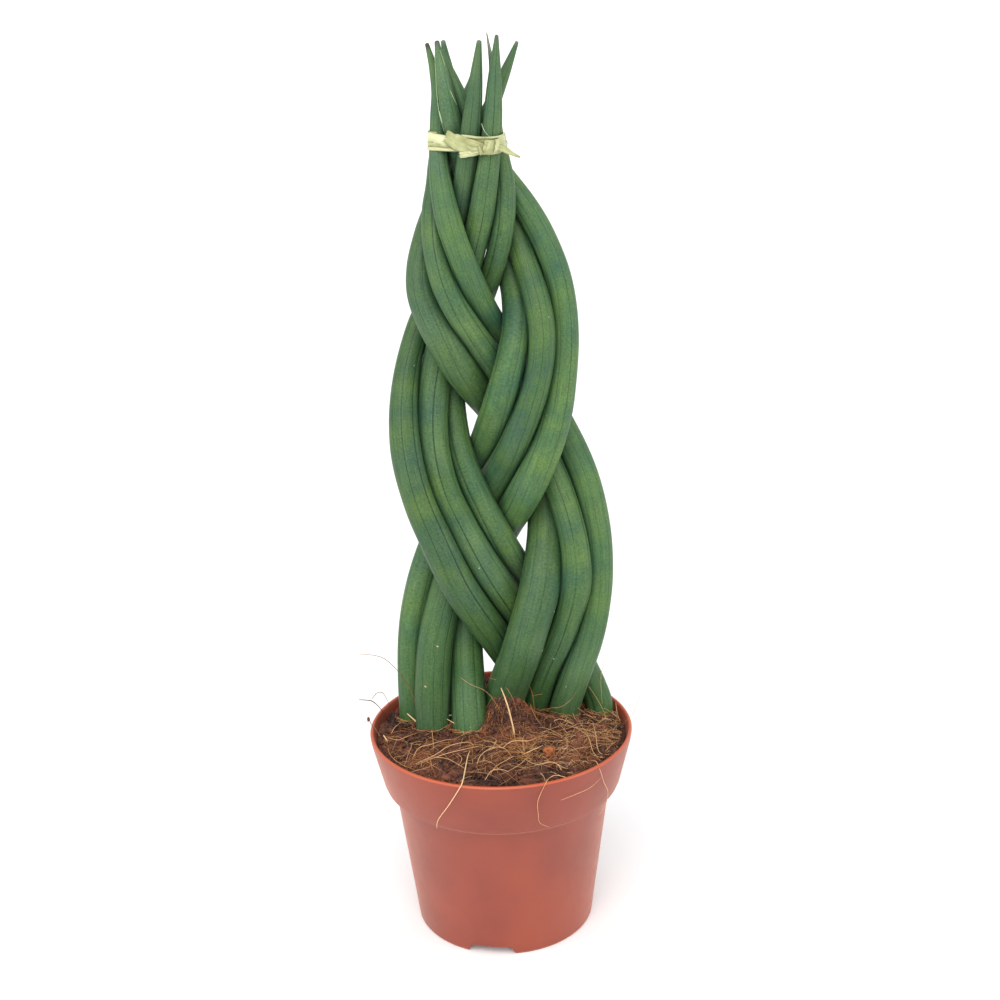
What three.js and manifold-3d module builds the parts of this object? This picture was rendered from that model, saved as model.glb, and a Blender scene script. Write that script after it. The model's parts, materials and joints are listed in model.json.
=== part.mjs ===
// Cylindrical snake plant: nine round leaves in three strands of three, braided,
// tied with raffia just under their tips and rooted in coir in a plastic nursery pot.
// Millimetres, +Z up. The origin is on the floor under the pot's centre; the front is -Y.

import * as THREE from 'three';
import { mergeVertices } from 'three/addons/utils/BufferGeometryUtils.js';
import Module from 'manifold-3d';

const wasm = await Module();
wasm.setup();

// ---------------------------------------------------------------- driving dimensions

const GAP = 0.3; // air between neighbouring pieces

// Nursery pot: a tapered body, a wide collar under the rim, a notched foot ring.
const POT = {
  height: 103,
  rimRadius: 65,
  lipWidth: 1.8,
  collarRadius: 59.4, // at the collar's lower edge
  collarBottom: 78,
  shoulderRadius: 53.4, // where the body meets the collar
  shoulderHeight: 70,
  footRadius: 44.4,
  wall: 1.7,
  floorUnder: 5.2,
  floorThickness: 1.6,
  footRingWidth: 3.2,
  lipHeight: 4,
  lipFlare: 0.45, // the lip leans this much out of the wall's line, inside and out
  edge: 0.8, // bevel of the rim and of the foot's inner edge
  footBevel: 1.2,
  step: 2.5, // height of the bends above the shoulder and under the collar
  bend: 1, // and how far they lead in
  innerCollarRise: 0.6, // the inside's bends lie this much higher than the outside's
  innerShoulderRise: 3.4,
  innerFootEase: 0.6,
  corner: 2.2, // inside, between floor and wall
  segments: 52,
};
const NOTCH = { count: 3, width: 24, height: 4.6, slope: 1.6, depth: 14, proud: 3, firstAngle: -100 };
const DRAIN = { count: 6, radius: 4.5, ringRadius: 27, depth: 10, sides: 12 };

// Coir: level at the wall, heaped towards the middle, with a clump by the middle strand.
const SOIL = {
  wallLevel: 98.5,
  crown: 5,
  crownPower: 2.5,
  clumpHeight: 7.5,
  clumpCentre: [5, 3],
  clumpSpread: [15, 9],
  crumb: 1.0,
  broadWave: { x: 0.21, y: 0.17, startX: 1.3, startY: -0.6 }, // radians per millimetre
  fineWave: { x: [0.83, 0.41], y: [-0.37, 0.92] },
  shy: 0.5, // inside the pot's wall
  lipShy: 0.4, // and this much more inside its lip
  footEase: 0.5,
  shoulderRise: 3.8, // the plug's bends lie this much above the pot's
  collarRise: 1,
  brim: 1.5, // height of the plug's edge under its top
  firstRing: 0.6, // share of a ring's width
  rings: 9,
  sectors: 40,
};
const FIBRE = {
  count: 24,
  thickness: 1.1,
  shortest: 12,
  longest: 24,
  startsWithin: 50, // of the pot's axis
  endsWithin: 57,
  rise: 3.2,
  leastRise: 0.4, // share of the rise
  sink: 2.2,
  sides: 3,
  lengths: 5,
  seed: 11,
};
const STRAWS = [
  { foot: [9, -19], top: [1, -6], lift: 9 },
  { foot: [-39, -5], top: [-50, 4], lift: 6 },
  { foot: [-17, -14], top: [-28, -6], lift: 4 },
];
const CHUNK = { centre: [25, -24], radius: 3.2, above: 0.8, squash: [1, 0.9, 0.8] };

// Leaves. Each centre line is given by its x and y at the stations' heights, and its tip;
// "girth" is the leaf's diameter at the girth heights, and "end" its diameter at the tip.
const STATIONS = [100, 125, 150, 175, 200, 225, 250, 275, 300, 325, 350, 370, 388, 408];
const GIRTH_HEIGHTS = [100, 170, 240, 300, 350, 388];
const TIE_HEIGHT = 388;
const ROOT = { height: 82, run: 0.35, wallRadius: 56.5 }; // the buried end runs on and stays off the wall
const LEAVES = {
  a1: {
    girth: [14.5, 15.9, 13.8, 10.6, 9.8, 8.6], end: 2.1, tip: [-0.5, 0, 430],
    x: [23, 9, -2.9, -15.9, -25.9, -35.4, -40, -38.9, -31.4, -19.2, -12.5, -8.8, -5.8, -3],
    y: [33, 25, 12, 3, -3, -3, 2, 9, 14, 15.5, 8.5, 4.5, 3, 1],
  },
  a2: {
    girth: [16.5, 15.7, 14.6, 14.4, 11, 8.7], end: 1.8, tip: [6.5, 0, 432],
    x: [38, 25, 12.3, 0.3, -11.3, -22.3, -27.5, -25.9, -20.1, -9.4, -2, 1, 2.9, 4.5],
    y: [27, 25.5, 17, 9, 6.5, 7.5, 9, 11, 15, 13, 6, 3, 1.5, 0.5],
  },
  a3: {
    girth: [13, 12, 11.8, 10.5, 9.2, 7.5], end: 1.1, tip: [1.8, 5, 433],
    x: [50.5, 42, 29.3, 15.3, 2.3, -9.2, -16.4, -17.7, -8.5, 0.5, 6, 7, 3.6, 3],
    y: [21, 22, 20.5, 14.5, 8, 11.5, 16, 19, 19, 12, 4.5, 6.5, 10.5, 8],
  },
  b1: {
    girth: [13.5, 14, 14.5, 13.2, 9.2, 8.5], end: 2.6, tip: [-20, 6, 430],
    x: [-44, -43.5, -41.2, -35.2, -25.4, -15, -4, 5, 10, 7.5, 0, -8.5, -13.4, -16.8],
    y: [15, 13.5, 13, 14.5, 19, 20, 11, 3.5, 7, 14, 16.5, 9.5, 2.2, -0.5],
  },
  b2: {
    girth: [17, 16.5, 13.2, 11.6, 10.8, 7.8], end: 2.2, tip: [-17, 15, 430],
    x: [-32.5, -32, -30, -23, -11.5, 2.4, 12.6, 20.2, 22.5, 18.6, 9.5, -2, -9.8, -13.5],
    y: [4, 5.5, 10.5, 15, 19, 15, 5, 3.5, 5.5, 8.5, 12.5, 14.5, 14, 13],
  },
  b3: {
    girth: [17, 16, 14.6, 13, 11, 8], end: 2, tip: [-18, 13, 426],
    x: [-14, -15, -14.5, -7.5, 4, 14.8, 24.5, 31, 33.6, 30.4, 20.2, 7.5, -3.5, -11.5],
    y: [-2, 4, 10.5, 17.5, 17.5, 5.5, 3, 4.5, 8, 11, 14, 14, 12, 7.5],
  },
  c1: {
    girth: [19.5, 18.9, 16, 14, 10.8, 7.8], end: 2, tip: [16, 20, 428.5],
    x: [-1.5, 4, 12.5, 20.8, 22, 17, 5.5, -8.5, -20.5, -29.5, -25, -14, -2.5, 7],
    y: [15, 9, 3, 5, 10, 15, 17, 9, 2.5, 4, 11, 20, 21.5, 18],
  },
  c2: {
    girth: [14.5, 12.8, 12.6, 11.5, 10, 7.5], end: 2, tip: [0.5, 17, 426],
    x: [15.5, 22, 31.3, 35.5, 34.9, 30, 19.9, 5.9, -8.3, -19.5, -23.5, -21, -17.4, -5],
    y: [16, 9.5, 5.5, 7.5, 10.5, 14, 17.5, 14.5, 5, 1.5, 6, 12, 17, 21],
  },
  c3: {
    girth: [14.2, 13.3, 13.5, 12, 11, 7.2], end: 2, tip: [-23, 12, 429],
    x: [30.5, 36, 44.5, 49, 48.5, 42.9, 31.6, 18.4, 4, -9, -16.2, -18.2, -17.8, -17.9],
    y: [12, 5, 6, 8.5, 11, 13.5, 15.5, 18, 14, 3, 1, 2.5, 7.6, 10],
  },
};
const LEAF = {
  sides: 16,
  rings: 34,
  tipTaper: 1.6, // above the tie the leaf thins slowly at first, then to a point
  ridges: 8,
  ridgeDepth: 0.03, // of the radius
  nodes: 88, // along the centre line
};

// The braid is pressed together until no two leaves touch.
const SETTLE = {
  passes: 500,
  lastPasses: 125, // these only part what still touches
  clearance: 0.7,
  reach: 16, // how far along a leaf its neighbour is looked for
  bendReach: 6, // nodes that a push carries with it, on either side
  acrossGive: 0.15, // leaves give way in depth more than across
  leastGive: 0.05,
  pace: 0.35, // share of an overlap that one pass takes away
  hold: 0.012, // share of its push that a node loses in a pass
  evenness: 0.5,
  lastEvenness: 0.04,
  stiffness: 0.06,
};

// Raffia: a band round the bundle, a knot at the front right and three loose ends.
const RAFFIA = {
  height: 386.5,
  tilt: 2.2, // the band's left side lies this much higher than its right
  widthLeft: 7.6,
  widthRight: 5.4,
  thickness: 0.7,
  segments: 48,
  slack: 0.2, // keeps the band's flats off the leaves
  lift: 3, // the band also clears the leaves this far above and below
  facings: 72, // directions in which the bundle is measured
  leastFacing: 0.05, // cosine under which a direction tells nothing
  stripFacets: [2, 6, 1],
  knotFacets: [10, 8],
  knotCentre: [2.6, -9.6, 385],
  knotSize: [3.5, 2.5, 3.7],
};
// Loose ends, from the knot out. A flap lies on the bundle: degrees round it, height and
// how far outside. The tail stands free: x, y and z.
const UPPER_FLAP = {
  path: [[-78, 386.5, 1.7], [-95, 388, 1.6], [-112, 390, 1.7], [-124, 391.5, 2.1]],
  width: [4.6, 6.4],
};
const LOWER_FLAP = {
  path: [[-78, 383.6, 1.8], [-98, 381.4, 2]],
  width: [3.6, 2.6],
};
const TAIL = {
  path: [[4, -9.6, 385], [8, -9.3, 383.6], [12, -8.6, 381.8], [15.3, -7.4, 379.8]],
  width: [4, 1.5],
};

const COLOUR = { leaf: '#3f6b34', soil: '#6b3a26', pot: '#b9604a', raffia: '#d5d393' };

// ---------------------------------------------------------------- solids

// A closed geometry as a Manifold solid, its faces turned outwards.
function solidOf(geometry) {
  const bare = geometry.clone();
  bare.deleteAttribute('normal');
  bare.deleteAttribute('uv');
  const merged = mergeVertices(bare, 1e-4);
  const index = merged.index.array;
  const triangles = [];
  for (let i = 0; i < index.length; i += 3) {
    const [a, b, c] = [index[i], index[i + 1], index[i + 2]];
    if (a !== b && b !== c && c !== a) triangles.push(a, b, c);
  }
  if (signedVolume(merged.attributes.position, triangles) < 0) triangles.reverse();
  const mesh = new wasm.Mesh({
    numProp: 3,
    vertProperties: new Float32Array(merged.attributes.position.array),
    triVerts: new Uint32Array(triangles),
  });
  return new wasm.Manifold(mesh);
}

function signedVolume(position, triangles) {
  const [p, q, r] = [new THREE.Vector3(), new THREE.Vector3(), new THREE.Vector3()];
  let volume = 0;
  for (let i = 0; i < triangles.length; i += 3) {
    p.fromBufferAttribute(position, triangles[i]);
    q.fromBufferAttribute(position, triangles[i + 1]);
    r.fromBufferAttribute(position, triangles[i + 2]);
    volume += p.dot(q.cross(r)) / 6;
  }
  return volume;
}

function geometryOf(solid) {
  const mesh = solid.getMesh();
  const geometry = new THREE.BufferGeometry();
  geometry.setAttribute('position', new THREE.BufferAttribute(mesh.vertProperties, 3));
  geometry.setIndex(new THREE.BufferAttribute(mesh.triVerts, 1));
  geometry.computeVertexNormals();
  return geometry;
}

// The largest body of a solid that cutting may have left in several.
function mainBody(solid) {
  return solid.decompose().reduce((best, body) => (body.volume() > best.volume() ? body : best));
}

// Bends a geometry that stands along Y from -0.5 to 0.5: its length follows the frames' centres,
// and its x and z go across and outwards from them, times the frame's width and depth.
function sweep(geometry, frameAt) {
  const position = geometry.attributes.position;
  const vertex = new THREE.Vector3();
  for (let i = 0; i < position.count; i += 1) {
    vertex.fromBufferAttribute(position, i);
    const frame = frameAt(THREE.MathUtils.clamp(vertex.y + 0.5, 0, 1));
    const placed = frame.centre.clone();
    placed.addScaledVector(frame.across, vertex.x * frame.width);
    placed.addScaledVector(frame.outward, vertex.z * frame.depth);
    position.setXYZ(i, placed.x, placed.y, placed.z);
  }
  return geometry;
}

// Directions across and outwards from a path that runs along "tangent".
function frameAxes(tangent, side) {
  const across = side.clone().addScaledVector(tangent, -side.dot(tangent)).normalize();
  return { across, outward: across.clone().cross(tangent).normalize() };
}

// A small seeded generator of numbers from 0 to 1.
function seeded(seed) {
  let state = seed;
  return () => {
    state = (state * 1664525 + 1013904223) % 4294967296;
    return state / 4294967296;
  };
}

// ---------------------------------------------------------------- leaves

function leafDiameter(leaf, z) {
  const last = leaf.girth.length - 1;
  if (z > TIE_HEIGHT) {
    const above = Math.min((z - TIE_HEIGHT) / (leaf.tip[2] - TIE_HEIGHT), 1);
    return THREE.MathUtils.lerp(leaf.girth[last], leaf.end, above ** LEAF.tipTaper);
  }
  const i = Math.min(Math.max(GIRTH_HEIGHTS.findIndex((height) => height >= z) - 1, 0), last - 1);
  const share = THREE.MathUtils.smoothstep(z, GIRTH_HEIGHTS[i], GIRTH_HEIGHTS[i + 1]);
  return THREE.MathUtils.lerp(leaf.girth[i], leaf.girth[i + 1], share);
}

// The leaf's centre line as nodes at even heights, before the braid is pressed together.
function layLeaf(leaf) {
  const route = STATIONS.map((z, i) => new THREE.Vector3(leaf.x[i], leaf.y[i], z));
  const root = route[0].clone().lerp(route[1], -ROOT.run).setZ(0);
  root.clampLength(0, ROOT.wallRadius - leaf.girth[0] / 2).setZ(ROOT.height);
  const curve = new THREE.CatmullRomCurve3([root, ...route, new THREE.Vector3(...leaf.tip)]);
  return curve.getSpacedPoints(LEAF.nodes - 1).map((point) => ({
    at: point.clone(),
    home: point.clone(),
    radius: leafDiameter(leaf, point.z) / 2,
    push: new THREE.Vector3(),
  }));
}

// Evens out how far the nodes have been pushed from home, and draws them back a little.
function easeBack(nodes, evenness, hold) {
  const push = nodes.map((node) => node.at.clone().sub(node.home));
  nodes.forEach((node, i) => {
    const before = push[Math.max(i - 1, 0)];
    const after = push[Math.min(i + 1, nodes.length - 1)];
    const even = before.clone().add(after).multiplyScalar(0.5).lerp(push[i], 1 - evenness);
    node.at.copy(node.home).addScaledVector(even, 1 - hold);
  });
}

// Evens out the bends in depth alone, as stiff leaves do.
function straighten(nodes) {
  const depth = nodes.map((node) => node.at.y);
  for (let i = 2; i < nodes.length - 2; i += 1) {
    const bend = depth[i - 2] - 4 * depth[i - 1] + 6 * depth[i] - 4 * depth[i + 1] + depth[i + 2];
    nodes[i].at.y -= SETTLE.stiffness * bend;
  }
}

// Notes how far two leaves have to move apart where they are closer than their radii and
// the clearance allow.
function notePushes(nodes, others) {
  const span = new THREE.Vector3();
  const away = new THREE.Vector3();
  const nearest = new THREE.Vector3();
  for (const node of nodes) {
    let best = null;
    for (let j = 0; j + 1 < others.length; j += 1) {
      const [low, high] = [others[j], others[j + 1]];
      if (Math.abs(low.at.z - node.at.z) > SETTLE.reach) continue;
      span.subVectors(high.at, low.at);
      const along = away.subVectors(node.at, low.at).dot(span) / span.lengthSq();
      const share = THREE.MathUtils.clamp(along, 0, 1);
      const distance = nearest.copy(low.at).addScaledVector(span, share).distanceTo(node.at);
      if (!best || distance < best.distance) {
        best = { low, high, share, distance, point: nearest.clone() };
      }
    }
    if (!best) continue;
    const otherRadius = THREE.MathUtils.lerp(best.low.radius, best.high.radius, best.share);
    const overlap = node.radius + otherRadius + SETTLE.clearance - best.distance;
    if (overlap <= 0) continue;
    away.subVectors(node.at, best.point).divideScalar(best.distance);
    const give = away.x * away.x * SETTLE.acrossGive + away.y * away.y;
    const step = (SETTLE.pace * overlap) / Math.max(give, SETTLE.leastGive);
    away.set(away.x * SETTLE.acrossGive * step, away.y * step, 0);
    node.push.add(away);
    best.low.push.addScaledVector(away, best.share - 1);
    best.high.push.addScaledVector(away, -best.share);
  }
}

// Moves the nodes by their pushes, each one bending its neighbours along with it.
function bendAlongWithPushes(nodes) {
  const moves = nodes.map((_, i) => {
    const move = new THREE.Vector3();
    let weights = 0;
    for (let k = -SETTLE.bendReach; k <= SETTLE.bendReach; k += 1) {
      const neighbour = nodes[i + k];
      if (!neighbour || neighbour.push.lengthSq() === 0) continue;
      const weight = Math.cos((k * Math.PI) / (2 * SETTLE.bendReach + 2)) ** 2;
      move.addScaledVector(neighbour.push, weight);
      weights += weight;
    }
    return move.divideScalar(Math.max(1, weights));
  });
  nodes.forEach((node, i) => {
    node.at.add(moves[i]);
    node.push.set(0, 0, 0);
  });
}

function settleBraid(strands) {
  for (let pass = 0; pass < SETTLE.passes; pass += 1) {
    const last = pass >= SETTLE.passes - SETTLE.lastPasses;
    strands.forEach((nodes) => {
      easeBack(nodes, last ? SETTLE.lastEvenness : SETTLE.evenness, last ? 0 : SETTLE.hold);
      if (!last) straighten(nodes);
    });
    strands.forEach((nodes, i) => {
      strands.forEach((others, j) => {
        if (i !== j) notePushes(nodes, others);
      });
    });
    strands.forEach(bendAlongWithPushes);
  }
}

// Frames along a settled leaf, "grow" wider all round and longer at the root.
function leafFrames(nodes, grow = 0) {
  const last = nodes.length - 1;
  return (t) => {
    const place = t * last;
    const i = Math.min(Math.floor(place), last - 1);
    const share = place - i;
    const centre = nodes[i].at.clone().lerp(nodes[i + 1].at, share);
    const ahead = nodes[Math.min(i + 2, last)].at;
    const tangent = ahead.clone().sub(nodes[Math.max(i - 1, 0)].at).normalize();
    if (t === 0) centre.addScaledVector(tangent, -grow);
    const radius = THREE.MathUtils.lerp(nodes[i].radius, nodes[i + 1].radius, share) + grow;
    const { across, outward } = frameAxes(tangent, new THREE.Vector3(1, 0, 0));
    return { centre, across, outward, width: radius, depth: radius };
  };
}

function leafGeometry(nodes, grow = 0) {
  const geometry = new THREE.CylinderGeometry(1, 1, 1, LEAF.sides, LEAF.rings);
  const position = geometry.attributes.position;
  for (let i = 0; grow === 0 && i < position.count; i += 1) {
    const angle = Math.atan2(position.getZ(i), position.getX(i));
    const groove = 1 - LEAF.ridgeDepth * (0.5 - 0.5 * Math.cos(LEAF.ridges * angle));
    position.setXYZ(i, position.getX(i) * groove, position.getY(i), position.getZ(i) * groove);
  }
  return sweep(geometry, leafFrames(nodes, grow));
}

// ---------------------------------------------------------------- pot

// Half of the pot's section, from the axis out under the floor, up the outside, down the inside.
function potProfile() {
  const { wall, edge, step, corner, lipFlare, lipHeight, height } = POT;
  const floorTop = POT.floorUnder + POT.floorThickness;
  const ringInner = POT.footRadius - POT.footRingWidth - edge;
  const lipInner = POT.rimRadius - POT.lipWidth;
  const innerFoot = POT.footRadius - wall + POT.innerFootEase;
  return [
    [0, POT.floorUnder],
    [ringInner - edge, POT.floorUnder],
    [ringInner, POT.floorUnder - edge],
    [ringInner, 0],
    [POT.footRadius - edge, 0],
    [POT.footRadius, POT.footBevel],
    [POT.shoulderRadius, POT.shoulderHeight],
    [POT.shoulderRadius + POT.bend, POT.shoulderHeight + step],
    [POT.collarRadius - POT.bend, POT.collarBottom - step],
    [POT.collarRadius, POT.collarBottom],
    [POT.rimRadius - lipFlare, height - lipHeight],
    [POT.rimRadius, height - edge],
    [POT.rimRadius - lipFlare, height],
    [lipInner + lipFlare, height],
    [lipInner, height - edge],
    [lipInner - lipFlare, height - lipHeight],
    [POT.collarRadius - wall, POT.collarBottom + POT.innerCollarRise],
    [POT.shoulderRadius - wall, POT.shoulderHeight + POT.innerShoulderRise],
    [innerFoot, floorTop + corner],
    [innerFoot - corner, floorTop],
    [0, floorTop],
  ];
}

function latheAroundZ(profile, segments) {
  const points = profile.map(([radius, z]) => new THREE.Vector2(radius, z));
  return new THREE.LatheGeometry(points, segments).rotateX(Math.PI / 2);
}

// A notch's outline, wider at the floor, extruded inwards through the foot ring.
function notchCutter(angle) {
  const { height, slope, depth } = NOTCH;
  const half = NOTCH.width / 2;
  const shoulder = half - slope * 0.5;
  const top = half - slope * 2;
  const shape = new THREE.Shape();
  shape.moveTo(-half, -1);
  shape.lineTo(half, -1);
  shape.lineTo(shoulder, height - slope);
  shape.quadraticCurveTo(half - slope, height, top, height);
  shape.lineTo(-top, height);
  shape.quadraticCurveTo(slope - half, height, -shoulder, height - slope);
  const cutter = new THREE.ExtrudeGeometry(shape, { depth, bevelEnabled: false, curveSegments: 3 });
  cutter.translate(0, 0, POT.footRadius - depth + NOTCH.proud);
  cutter.rotateX(Math.PI / 2).rotateZ(Math.PI);
  return cutter.rotateZ(THREE.MathUtils.degToRad(angle) - Math.PI / 2);
}

function drainCutter(angle) {
  const cutter = new THREE.CylinderGeometry(DRAIN.radius, DRAIN.radius, DRAIN.depth, DRAIN.sides);
  cutter.rotateX(Math.PI / 2).translate(DRAIN.ringRadius, 0, POT.floorUnder);
  return cutter.rotateZ(angle);
}

function potGeometry() {
  let pot = solidOf(latheAroundZ(potProfile(), POT.segments));
  for (let i = 0; i < NOTCH.count; i += 1) {
    pot = pot.subtract(solidOf(notchCutter(NOTCH.firstAngle + (i * 360) / NOTCH.count)));
  }
  for (let i = 0; i < DRAIN.count; i += 1) {
    pot = pot.subtract(solidOf(drainCutter(((i + 0.5) * 2 * Math.PI) / DRAIN.count)));
  }
  return geometryOf(pot);
}

// ---------------------------------------------------------------- soil

function bump(distance) {
  return Math.exp(-distance * distance);
}

// Height of the coir at a point, with its clump and its crumbs.
function soilHeight(x, y) {
  const radius = Math.hypot(x, y);
  const inside = 1 - (radius / POT.rimRadius) ** SOIL.crownPower;
  const [cx, cy] = SOIL.clumpCentre;
  const [sx, sy] = SOIL.clumpSpread;
  const clump = SOIL.clumpHeight * bump(Math.hypot((x - cx) / sx, (y - cy) / sy));
  const { broadWave: slow, fineWave: fast } = SOIL;
  const broad = Math.sin(x * slow.x + slow.startX) * Math.cos(y * slow.y + slow.startY);
  const fine = Math.sin(x * fast.x[0] + y * fast.x[1]) * Math.sin(x * fast.y[0] + y * fast.y[1]);
  const crumbs = SOIL.crumb * (broad + fine) * Math.min(1, 2 * inside);
  return SOIL.wallLevel + (SOIL.crown + clump) * inside + crumbs;
}

// A plug that fills the pot; its top follows the coir's height.
function soilPlug() {
  const floor = POT.floorUnder + POT.floorThickness + GAP;
  const inset = POT.wall + SOIL.shy;
  const foot = POT.footRadius - inset + SOIL.footEase;
  const topRadius = POT.rimRadius - POT.lipWidth - POT.lipFlare - SOIL.shy - SOIL.lipShy;
  const profile = [
    [0, floor],
    [foot - POT.corner, floor],
    [foot, floor + POT.corner],
    [POT.shoulderRadius - inset, POT.shoulderHeight + SOIL.shoulderRise],
    [POT.collarRadius - inset, POT.collarBottom + SOIL.collarRise],
    [topRadius, SOIL.wallLevel - SOIL.brim],
  ];
  const sides = profile.length;
  for (let i = 0; i < SOIL.rings; i += 1) {
    profile.push([topRadius * (1 - (i + SOIL.firstRing) / SOIL.rings), SOIL.wallLevel]);
  }
  profile.push([0, SOIL.wallLevel]);
  const plug = latheAroundZ(profile, SOIL.sectors);
  const position = plug.attributes.position;
  for (let i = 0; i < position.count; i += 1) {
    if (i % profile.length < sides) continue;
    position.setZ(i, soilHeight(position.getX(i), position.getY(i)));
  }
  return solidOf(plug);
}

// A fibre between two points of the ground, arched over it with both ends sunk.
function fibreSolid(from, to, rise, topLift = 0) {
  const [start, end] = [from, to].map(([x, y]) => (
    new THREE.Vector3(x, y, soilHeight(x, y) - FIBRE.sink)
  ));
  end.z += topLift;
  const middle = start.clone().lerp(end, 0.5);
  middle.z += FIBRE.sink + rise;
  const curve = new THREE.CatmullRomCurve3([start, middle, end]);
  const radius = FIBRE.thickness / 2;
  const frames = (t) => {
    const { across, outward } = frameAxes(curve.getTangentAt(t), new THREE.Vector3(0, 0, 1));
    return { centre: curve.getPointAt(t), across, outward, width: radius, depth: radius };
  };
  return solidOf(sweep(new THREE.CylinderGeometry(1, 1, 1, FIBRE.sides, FIBRE.lengths), frames));
}

function soilFibres() {
  const random = seeded(FIBRE.seed);
  const fibres = [];
  for (let i = 0; i < FIBRE.count; i += 1) {
    const angle = random() * 2 * Math.PI;
    const radius = FIBRE.startsWithin * Math.sqrt(random());
    const from = [radius * Math.cos(angle), radius * Math.sin(angle)];
    const heading = random() * 2 * Math.PI;
    const length = THREE.MathUtils.lerp(FIBRE.shortest, FIBRE.longest, random());
    const to = [from[0] + length * Math.cos(heading), from[1] + length * Math.sin(heading)];
    const rise = FIBRE.rise * THREE.MathUtils.lerp(FIBRE.leastRise, 1, random());
    if (Math.hypot(...to) < FIBRE.endsWithin) fibres.push(fibreSolid(from, to, rise));
  }
  return fibres;
}

function chunkSolid() {
  const [x, y] = CHUNK.centre;
  const chunk = new THREE.IcosahedronGeometry(CHUNK.radius, 1).scale(...CHUNK.squash);
  return solidOf(chunk.translate(x, y, soilHeight(x, y) + CHUNK.above));
}

function soilGeometry(strands) {
  let soil = soilPlug();
  soilFibres().forEach((fibre) => {
    soil = soil.add(fibre);
  });
  STRAWS.forEach((straw) => {
    soil = soil.add(fibreSolid(straw.foot, straw.top, straw.lift / 2, FIBRE.sink + straw.lift));
  });
  soil = soil.add(chunkSolid());
  strands.forEach((nodes) => {
    soil = soil.subtract(solidOf(leafGeometry(nodes, GAP)));
  });
  return geometryOf(mainBody(soil));
}

// ---------------------------------------------------------------- raffia tie

// The bundle's outline at a height: the hull of its leaves, grown by the gap.
function bundleOutline(strands, z) {
  const centres = strands.map((nodes) => {
    const i = Math.max(1, nodes.findIndex((node) => node.at.z > z));
    const share = (z - nodes[i - 1].at.z) / (nodes[i].at.z - nodes[i - 1].at.z);
    const centre = nodes[i - 1].at.clone().lerp(nodes[i].at, share);
    return { x: centre.x, y: centre.y, radius: nodes[i].radius + GAP };
  });
  const middle = { x: 0, y: 0 };
  centres.forEach(({ x, y }) => {
    middle.x += x / centres.length;
    middle.y += y / centres.length;
  });
  return { centres, middle };
}

// Distance from the middle to the hull in one direction, from its supporting lines.
function hullRadius({ centres, middle }, angle) {
  let nearest = Infinity;
  for (let i = 0; i < RAFFIA.facings; i += 1) {
    const facing = (i * 2 * Math.PI) / RAFFIA.facings;
    const cosine = Math.cos(facing - angle);
    if (cosine < RAFFIA.leastFacing) continue;
    const support = Math.max(...centres.map(({ x, y, radius }) => (
      (x - middle.x) * Math.cos(facing) + (y - middle.y) * Math.sin(facing) + radius
    )));
    nearest = Math.min(nearest, support / cosine);
  }
  return nearest;
}

// A point on the bundle's hull: how high, in which direction, how far outside it.
function onBundle(strands, angle, z, out) {
  const lifts = [-RAFFIA.lift, 0, RAFFIA.lift];
  const outlines = lifts.map((lift) => bundleOutline(strands, z + lift));
  const { middle } = outlines[1];
  const radius = Math.max(...outlines.map((outline) => hullRadius({ ...outline, middle }, angle)));
  return new THREE.Vector3(
    middle.x + (radius + out) * Math.cos(angle),
    middle.y + (radius + out) * Math.sin(angle),
    z,
  );
}

function bandSolid(strands) {
  const [inside, outside] = [1, 2]; // radii that only tell the band's two faces apart
  const square = [[inside, -0.5], [outside, -0.5], [outside, 0.5], [inside, 0.5], [inside, -0.5]];
  const band = latheAroundZ(square, RAFFIA.segments);
  const position = band.attributes.position;
  for (let i = 0; i < position.count; i += 1) {
    const angle = Math.atan2(position.getY(i), position.getX(i));
    const out = (Math.hypot(position.getX(i), position.getY(i)) - inside) * RAFFIA.thickness;
    const leftness = 0.5 - 0.5 * Math.cos(angle);
    const width = THREE.MathUtils.lerp(RAFFIA.widthRight, RAFFIA.widthLeft, leftness);
    const z = RAFFIA.height + RAFFIA.tilt * (leftness - 0.5) + position.getZ(i) * width;
    const point = onBundle(strands, angle, z, RAFFIA.slack + out);
    position.setXYZ(i, point.x, point.y, point.z);
  }
  return solidOf(band);
}

// A flat strip of raffia through points, its width changing evenly from start to end.
function stripSolid(points, [startWidth, endWidth]) {
  const curve = new THREE.CatmullRomCurve3(points);
  const frames = (t) => {
    const { across, outward } = frameAxes(curve.getTangentAt(t), new THREE.Vector3(0, 0, 1));
    const width = THREE.MathUtils.lerp(startWidth, endWidth, t);
    return { centre: curve.getPointAt(t), across, outward, width, depth: RAFFIA.thickness };
  };
  return solidOf(sweep(new THREE.BoxGeometry(1, 1, 1, ...RAFFIA.stripFacets), frames));
}

function raffiaGeometry(strands) {
  const knotCentre = new THREE.Vector3(...RAFFIA.knotCentre);
  const onLeaves = ([degrees, z, out]) => onBundle(strands, THREE.MathUtils.degToRad(degrees), z, out);
  const flap = ({ path, width }) => stripSolid([knotCentre, ...path.map(onLeaves)], width);
  const tail = stripSolid(TAIL.path.map((point) => new THREE.Vector3(...point)), TAIL.width);
  const knot = new THREE.SphereGeometry(1, ...RAFFIA.knotFacets).scale(...RAFFIA.knotSize);
  knot.translate(...RAFFIA.knotCentre);
  let tie = bandSolid(strands);
  [solidOf(knot), flap(UPPER_FLAP), flap(LOWER_FLAP), tail].forEach((loose) => {
    tie = tie.add(loose);
  });
  return geometryOf(mainBody(tie));
}

// ---------------------------------------------------------------- the plant

function piece(name, geometry, color, roughness) {
  const material = new THREE.MeshStandardMaterial({ color, roughness, metalness: 0 });
  const mesh = new THREE.Mesh(geometry, material);
  mesh.name = name;
  return mesh;
}

const names = Object.keys(LEAVES);
const strands = names.map((name) => layLeaf(LEAVES[name]));
settleBraid(strands);

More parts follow.
